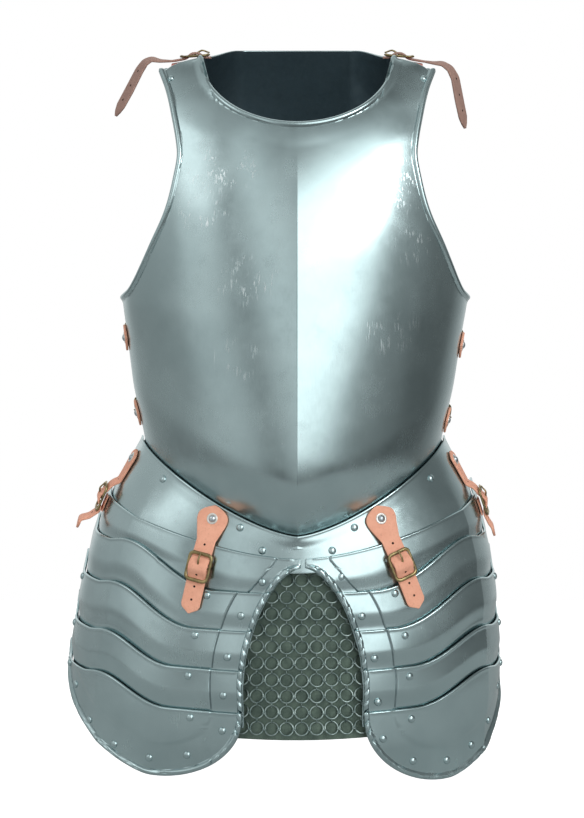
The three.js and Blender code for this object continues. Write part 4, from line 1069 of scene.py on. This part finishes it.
def shoulder_leathers(sign):
    """The bridge over a shoulder, the strap across it and its buckle."""
    side = SIDES[sign]

    def inside(z, point, inset):
        half = look(TORSO, "half", z) - inset
        out = -SHEET - 2 * CLEAR - STRAP_THICKNESS / 2 - 0.8
        return face_at(point, np.arcsin(sign * BRIDGE_X / half), z, out)

    def over(y):
        top = np.array([sign * BRIDGE_X, y, BRIDGE_TOP_Z - y * y * 0.03])
        return top, unit(np.array([sign * math.tan(BRIDGE_LEAN), y * 0.07, 1.0]))

    heights = (368.0, 380.0, 390.0, 399.0)
    stations = [inside(z, breast_point, 0) for z in heights]
    stations += [over(y) for y in (-10.0, -4.0, 4.0, 10.0)]
    stations += [inside(z, back_point, BACK_INSET) for z in heights[::-1]]
    p, n = zip(*stations)
    p, n, width, length = dense_line(p, n, [BRIDGE_WIDTH] * len(p), 1.5, 3)
    form = Form()
    sweep(form, p, n, strip_section(width, STRAP_THICKNESS))
    strap_piece(f"bridge_{side}", form, PINK_LEATHER)

    p, n, w = [], [], []
    for x, z, lean, turn, width in SHOULDER_STRAP + SHOULDER_END[sign]:
        a, b = math.radians(lean), math.radians(turn)
        p.append([sign * x, 0, z])
        n.append([sign * math.sin(a) * math.cos(b), -math.sin(b), math.cos(a) * math.cos(b)])
        w.append(width)
    p, n, width, length = dense_line(p, n, w, 1.0, 5)
    form = Form()
    sweep(form, p, n, strip_section(width, STRAP_THICKNESS))
    holes(form, p, n, [int(share * len(p)) for share in (0.62, 0.74, 0.86)], 1, 1)
    strap_piece(
        f"strap_shoulder_{side}", form,
        BROWN_LEATHER, more=[HOLE_SHADE],
    )
    along = np.array([sign * math.cos(SHOULDER_LEAN), 0, -math.sin(SHOULDER_LEAN)])
    up = np.array([sign * math.sin(SHOULDER_LEAN), 0, math.cos(SHOULDER_LEAN)])
    at = np.array([sign * SHOULDER_BUCKLE[0], 0, SHOULDER_BUCKLE[1]])
    buckle(f"shoulder_{side}", at, along, np.array([0.0, 1.0, 0.0]), up)


def linings(side):
    """The two leathers inside a tasset, which join its lames."""
    for place, inset, lowest, length, gap in (
        ("front", 20, -290, 185, 0.4), ("rear", 0, -240, 134, 1.4)
    ):
        inside = -SHEET - CLEAR - LINING_THICKNESS / 2 - gap
        z = np.linspace(-112, lowest, 60)
        x = ARCH_CENTRE_X + side * (arch_half_width(z) + inset)
        angle = angle_at_x(x, z) if place == "front" else np.full(z.shape, side * REAR_LINING)
        p, n = face_at(lambda a, h: skirt_point(a, h, inside), angle, z)
        form = Form()
        sweep(form, p, n, strip_section(LINING_WIDTH, LINING_THICKNESS))
        strap_piece(
            f"lining_{SIDES[side]}_{place}", form, LEATHER
        )


# Materials
class Nodes:
    """A tree of shader nodes, whose inputs are given as numbers or as other nodes' sockets."""

    def __init__(self, tree):
        self.tree = tree

    def wire(self, node, inputs):
        for key, value in inputs.items():
            if isinstance(value, bpy.types.NodeSocket):
                self.tree.links.new(value, node.inputs[key])
            else:
                node.inputs[key].default_value = value

    def add(self, kind, inputs=None, **settings):
        made = self.tree.nodes.new("ShaderNode" + kind)
        for key, value in settings.items():
            setattr(made, key, value)
        self.wire(made, inputs or {})
        return made

    def place(self, scale=(1, 1, 1), rotation=(0, 0, 0)):
        """Object coordinates, turned and scaled."""
        where = self.add("TexCoord").outputs["Object"]
        turn = tuple(math.radians(v) for v in rotation)
        return self.add("Mapping", {"Vector": where, "Scale": scale, "Rotation": turn}).outputs[0]

    def noise(self, vector, scale, detail=3, rough=0.55):
        inputs = {"Vector": vector, "Scale": scale, "Detail": detail, "Roughness": rough}
        return self.add("TexNoise", inputs).outputs["Fac"]

    def span(self, value, low, high, to_low=0.0, to_high=1.0):
        """A value taken from one range to another."""
        ends = {"From Min": low, "From Max": high, "To Min": to_low, "To Max": to_high}
        return self.add("MapRange", {"Value": value, **ends}).outputs[0]

    def blend(self, factor, first, second):
        """Mix of two colours by a factor."""
        first, second = ((*c, 1) if isinstance(c, tuple) else c for c in (first, second))
        inputs = {0: factor, 6: first, 7: second}
        return self.add("Mix", inputs, data_type="RGBA").outputs[2]

    def maths(self, operation, a, b):
        return self.add("Math", {0: a, 1: b}, operation=operation).outputs[0]

    def bump(self, height, strength, distance, below=None):
        inputs = {"Height": height, "Strength": strength, "Distance": distance}
        if below is not None:
            inputs["Normal"] = below
        return self.add("Bump", inputs).outputs[0]


def shader(name):
    """A new material, its nodes and its surface."""
    material = bpy.data.materials.new(name)
    material.use_nodes = True
    nodes = Nodes(material.node_tree)
    return material, nodes, material.node_tree.nodes["Principled BSDF"]


# Middle and half-size of the scratched places on the chest
SCRATCHED = [
    (-75, 300, 42, 28), (-95, 255, 30, 24), (-55, 190, 45, 30), (112, 285, 40, 34),
    (125, 225, 35, 28), (-60, 110, 30, 24), (95, 140, 34, 30), (5, 400, 60, 16),
]


def scratches(nodes, plain):
    """Thin broken lines in three directions, in the scratched places only."""
    marks = None
    for turn, scale in ((35, 420), (62, 500), (-40, 460)):
        thin = nodes.noise(nodes.place((1, 1, 0.045), (0, turn, 0)), scale, 1, 0.4)
        lines = nodes.span(thin, 0.64, 0.69)
        marks = lines if marks is None else nodes.maths("MAXIMUM", marks, lines)
    where = None
    coordinates = nodes.add("TexCoord").outputs["Object"]
    for x, z, wide, high in SCRATCHED:
        spot = nodes.add("Mapping", {
            "Vector": coordinates,
            "Location": (-x / wide, 0, -(z - SHOULDER_HEIGHT) / high),
            "Scale": (1000 / wide, 0, 1000 / high),
        }).outputs[0]
        far = nodes.add("VectorMath", {0: spot}, operation="LENGTH").outputs["Value"]
        near = nodes.span(far, 1.0, 0.25)
        where = near if where is None else nodes.maths("MAXIMUM", where, near)
    broken = nodes.span(nodes.noise(plain, 60, 3, 0.6), 0.46, 0.62)
    return nodes.maths("MULTIPLY", marks, nodes.maths("MULTIPLY", where, broken))


def steel(name, scratched=False):
    """Brushed plate: cloudy tint, fine grain, a few dings, and scratches where it is handled."""
    material, nodes, surface = shader(name)
    plain = nodes.place()
    cloud = nodes.noise(plain, 9, 4, 0.6)
    patch = nodes.noise(plain, 38, 5, 0.65)
    grain = nodes.noise(nodes.place((1, 1, 0.06)), 900, 2, 0.5)
    colour = nodes.blend(nodes.span(cloud, 0.35, 0.65), (0.39, 0.495, 0.505), (0.47, 0.585, 0.595))
    colour = nodes.blend(nodes.span(patch, 0.58, 0.8, 0, 0.3), colour, (0.31, 0.40, 0.41))
    rough = nodes.span(cloud, 0.3, 0.7, 0.2, 0.28)
    rough = nodes.maths("ADD", rough, nodes.span(patch, 0.4, 0.75, -0.02, 0.05))
    rough = nodes.maths("ADD", rough, nodes.span(grain, 0.3, 0.7, -0.015, 0.015))
    normal = nodes.bump(grain, 0.05, 0.0002)
    normal = nodes.bump(nodes.noise(plain, 16, 2, 0.4), 0.12, 0.003, normal)
    if scratched:
        marks = scratches(nodes, plain)
        colour = nodes.blend(nodes.maths("MULTIPLY", marks, 0.85), colour, (0.9, 0.96, 0.97))
        rough = nodes.maths("ADD", rough, nodes.maths("MULTIPLY", marks, 0.2))
        normal = nodes.bump(marks, 0.25, 0.0002, normal)
    nodes.wire(surface, {"Base Color": colour, "Roughness": rough, "Normal": normal, "Metallic": 1})
    return material


def metal(name, light, dark, rough, scale=140):
    """Small worn fittings: two tints and an uneven sheen."""
    material, nodes, surface = shader(name)
    wear = nodes.noise(nodes.place(), scale, 4, 0.6)
    nodes.wire(surface, {
        "Base Color": nodes.blend(nodes.span(wear, 0.35, 0.65), dark, light),
        "Roughness": nodes.span(wear, 0.3, 0.7, rough + 0.1, rough - 0.04),
        "Normal": nodes.bump(nodes.noise(nodes.place(), 900, 2), 0.15, 0.0002),
        "Metallic": 1,
    })
    return material


def leather(name, light, dark, deep):
    """Smooth hide: mottled tint, pores and fine creases."""
    material, nodes, surface = shader(name)
    plain = nodes.place()
    mottle = nodes.noise(plain, 120, 4, 0.65)
    speck = nodes.noise(plain, 620, 3, 0.7)
    cells = nodes.add("TexVoronoi", {"Vector": plain, "Scale": 700}, feature="DISTANCE_TO_EDGE")
    colour = nodes.blend(nodes.span(mottle, 0.3, 0.7), dark, light)
    creases = nodes.bump(cells.outputs["Distance"], 0.25, 0.0003)
    nodes.wire(surface, {
        "Base Color": nodes.blend(nodes.span(speck, 0.56, 0.75, 0, 0.55), colour, deep),
        "Roughness": nodes.span(mottle, 0.3, 0.7, 0.62, 0.76),
        "Normal": nodes.bump(speck, 0.2, 0.0003, creases),
        "Specular IOR Level": 0.35,
    })
    return material


def cloth(name, light, dark):
    """Close plain weave."""
    material, nodes, surface = shader(name)
    weave = None
    for turn in (0, 90):
        inputs = {"Vector": nodes.place(rotation=(0, turn, 0)), "Scale": 210, "Distortion": 0.6}
        wave = nodes.add("TexWave", inputs, bands_direction="X").outputs["Fac"]
        weave = wave if weave is None else nodes.maths("MULTIPLY", weave, wave)
    soft = nodes.noise(nodes.place(), 70, 4, 0.6)
    colour = nodes.blend(nodes.span(soft, 0.3, 0.7), dark, light)
    nodes.wire(surface, {
        "Base Color": nodes.blend(nodes.span(weave, 0.0, 0.6, 0.35, 0), colour, dark),
        "Normal": nodes.bump(weave, 0.4, 0.0004),
        "Roughness": 0.9,
        "Sheen Weight": 0.2,
    })
    return material


STEEL = steel("steel")
# Dark steel for the lames' border grooves: painted shade in the groove
GROOVE_SHADE_STEEL = metal("steel_groove_painted_shade", (0.2, 0.26, 0.27), (0.13, 0.18, 0.19), 0.4)
# Inner faces of the plates: colour darkened as painted shade of the hollow inside, with a rougher, duller
# finish
SHADED_INSIDE_STEEL = metal("steel_inside_painted_shade", (0.19, 0.27, 0.31), (0.12, 0.18, 0.21), 0.45, 30)
CHEST_STEEL = steel("steel_scratched", True)
STEEL_RIVET = metal("steel_rivet", (0.62, 0.66, 0.68), (0.4, 0.44, 0.46), 0.26)
TIN = metal("tin", (0.86, 0.86, 0.82), (0.7, 0.7, 0.66), 0.42)
RINGS = metal("ring_wire", (0.4, 0.49, 0.47), (0.16, 0.22, 0.21), 0.32)
BRASS = metal("aged_brass", (0.42, 0.33, 0.16), (0.16, 0.13, 0.07), 0.36)
LEATHER = leather("leather", (0.92, 0.46, 0.315), (0.84, 0.385, 0.26), (0.5, 0.2, 0.13))
BROWN_LEATHER = leather("brown_leather", (0.42, 0.26, 0.21), (0.34, 0.2, 0.165), (0.2, 0.11, 0.09))
PINK_LEATHER = leather("pink_leather", (0.85, 0.36, 0.29), (0.76, 0.3, 0.24), (0.55, 0.2, 0.16))
CLOTH = cloth("backing_cloth", (0.135, 0.19, 0.15), (0.055, 0.085, 0.07))
# Near-black for the strap holes: painted shade where a punched hole would be
HOLE_SHADE = metal("hole", (0.05, 0.03, 0.025), (0.02, 0.012, 0.01), 0.9)

# The plates
for make, outer, sharp in (
    (breastplate, CHEST_STEEL, 50), (backplate, STEEL, 50), (fauld, STEEL, 42), (culet, STEEL, 50)
):
    name = make.__name__
    piece(f"{name}_steel", make(), [outer, SHADED_INSIDE_STEEL], [name], sharp)
for side in SIDES:
    for k in range(1, 6):
        name = f"tasset_{SIDES[side]}_lame_{k}"
        piece(f"{name}_steel", lame(k, side), [STEEL, SHADED_INSIDE_STEEL, GROOVE_SHADE_STEEL], [name], 46)
    linings(side)

# Mail on its cloth
piece("mail_rings", mail(), [RINGS], [], 80)
back_cloth = piece("mail_backing_cloth", backing(), [CLOTH], ["mail_skirt"])


# Where the straps run
def skirt_path(start, end, start_z, fall, length, in_mm):
    """Line down the skirt from a start to an end, in mm across or in degrees round it."""

    def face(l):
        z = start_z - l * fall
        at = mix(start, end, l / length)
        return face_at(skirt_point, angle_at_x(at, z) if in_mm else np.radians(at), z)

    return face


def rear_point(a, h):
    p = back_point(a, h)
    flat = p * [1, 1, 0]
    return p + unit(flat) * BACK_INSET


def side_path(sign, z):
    """Level line round the side, from the breastplate to the backplate."""

    def face(l):
        a = (l - 9) / TORSO_RADIUS / 0.82
        angle = sign * (math.pi / 2 - np.abs(a))
        height = np.full(np.shape(l), float(z))
        front = face_at(breast_point, angle, height)
        rear = face_at(rear_point, angle, height)
        on_breast = (a < 0)[..., None]
        return np.where(on_breast, front[0], rear[0]), np.where(on_breast, front[1], rear[1])

    return face


FRONT = {"head": 34, "lap_at": (24, 70), "bar_at": 38, "tip": 103, "chape_length": 16}
HIP = {"head": 24, "lap_at": (32, 66), "bar_at": 36, "tip": 92, "chape_length": 14}
for name, line, tip_out, kind in (
    ("left_front", (-87, -110, -59, 0.93), 7.2, FRONT),
    ("right_front", (86, 123, -59, 0.9), 7.2, FRONT),
    ("left_side", (-82, -84, -12, 0.9), 24, HIP),
    ("right_side", (82, 84, -14, 0.93), 12, HIP),
):
    face = skirt_path(*line, kind["tip"], kind is FRONT)
    buckled_strap(f"tasset_{name}", face, tip_out=tip_out, rests_on=["fauld_steel"], **kind)
girth = {"head": 28, "lap_at": (), "bar_at": 36, "tip": 96, "tip_out": 3.8, "chape_length": 20}
for level, height in (("upper", 118), ("lower", 37)):
    for sign in SIDES:
        face = side_path(sign, height - (8 if sign > 0 else 0))
        buckled_strap(f"{SIDES[sign]}_{level}", face, rests_on=["breastplate_steel"], **girth)
for sign in SIDES:
    shoulder_leathers(sign)


# Studio
def lamp(name, at, towards, size, power):
    data = bpy.data.lights.new(name, "AREA")
    data.shape = "RECTANGLE"
    data.size, data.size_y = size
    data.energy = power
    made = bpy.data.objects.new(name, data)
    made.location = at
    made.rotation_euler = (Vector(towards) - Vector(at)).to_track_quat("-Z", "Y").to_euler()
    bpy.context.scene.collection.objects.link(made)


FLOOR_Z = -0.752
FLOOR_HALF = 0.75
FLOOR_CORNERS = [(-1, -1), (1, -1), (1, 1), (-1, 1)]
floor_mesh = bpy.data.meshes.new("floor")
floor_points = [(x * FLOOR_HALF, y * FLOOR_HALF, FLOOR_Z) for x, y in FLOOR_CORNERS]
floor_mesh.from_pydata(floor_points, [], [(0, 1, 2, 3)])
floor = bpy.data.objects.new("floor", floor_mesh)
bpy.context.scene.collection.objects.link(floor)
floor_material, nodes, surface = shader("pale_floor")
cloud = nodes.noise(nodes.place(), 2.5, 3)
nodes.wire(surface, {
    "Base Color": nodes.blend(cloud, (0.52, 0.53, 0.53), (0.56, 0.56, 0.56)),
    "Roughness": 0.95,
    "Emission Color": (1, 1, 1, 1),
    "Emission Strength": nodes.add("LightPath").outputs["Is Camera Ray"],
})
floor_mesh.materials.append(floor_material)

# Light that comes from around the part, by degrees to the right of the camera: soft boxes with
# darker gaps between them, and a white wall behind; then by degrees above the horizon
AROUND = [
    (-180, 1.1), (-155, 1.0), (-135, 0.6), (-100, 0.56), (-70, 0.58), (-64, 0.88), (-48, 0.92),
    (-45, 0.36), (-37, 0.3), (-33, 1.08), (-24, 1.08), (-18, 0.6), (-6, 0.5), (2, 0.52), (42, 0.5),
    (52, 0.38), (74, 0.32), (82, 0.22), (118, 0.24), (135, 0.55), (158, 0.95), (180, 1.1),
]
HEIGHTS = [(-90, 0.4), (-28, 0.42), (-15, 0.56), (6, 1.0), (52, 1.0), (72, 0.6), (90, 0.5)]
KEY_AROUND = [(-180, 0), (3, 0), (8, 1.6), (40, 2.0), (44, 1.3), (49, 0.25), (52, 0), (180, 0)]
KEY_HEIGHTS = [(-90, 0), (-11, 0), (3, 1.0), (42, 1.0), (54, 0.4), (66, 0.05), (90, 0)]
AIR = (0.97, 1.0, 1.0)  # tint of that light
MOST = 2.0  # brightness that a colour ramp's white stands for


def ramp(nodes, value, stops):
    """Brightness looked up from (degrees, brightness) stops."""
    low, high = stops[0][0], stops[-1][0]
    share = nodes.span(value, math.radians(low), math.radians(high))
    made = nodes.add("ValToRGB", {"Fac": share})
    points = made.color_ramp.elements
    while len(points) < len(stops):
        points.new(0.5)
    for point, (degrees, _) in zip(points, stops):
        point.position = (degrees - low) / (high - low)
    for point, (_, bright) in zip(points, stops):
        point.color = (bright / MOST, bright / MOST, bright / MOST, 1)
    return made.outputs["Color"]


world = bpy.data.worlds.new("studio")
bpy.context.scene.world = world
world.use_nodes = True
air = Nodes(world.node_tree)
direction = air.add("TexCoord").outputs["Generated"]
x, y, z = air.add("SeparateXYZ", {0: direction}).outputs
turn = air.maths("ARCTAN2", x, air.maths("MULTIPLY", y, -1.0))
rise = air.maths("ARCSINE", z, 0.0)
wide = air.maths("MULTIPLY", ramp(air, turn, AROUND), ramp(air, rise, HEIGHTS))
key = air.maths("MULTIPLY", ramp(air, turn, KEY_AROUND), ramp(air, rise, KEY_HEIGHTS))
light = air.maths("MULTIPLY", air.maths("ADD", wide, key), MOST * MOST)
tinted = air.add("VectorMath", {0: AIR, "Scale": light}, operation="SCALE").outputs[0]
seen = air.add("LightPath").outputs["Is Camera Ray"]
sky = world.node_tree.nodes["Background"]
air.wire(sky, {"Color": air.blend(seen, tinted, (1.0, 1.0, 1.0))})

bpy.context.scene.view_settings.view_transform = "Standard"
lamp("key", (1.6, -1.7, 1.1), (0.05, 0, -0.2), (0.5, 0.9), 13)
lamp("fill", (-1.9, -1.2, 1.3), (0, 0, -0.2), (1.0, 1.4), 4)
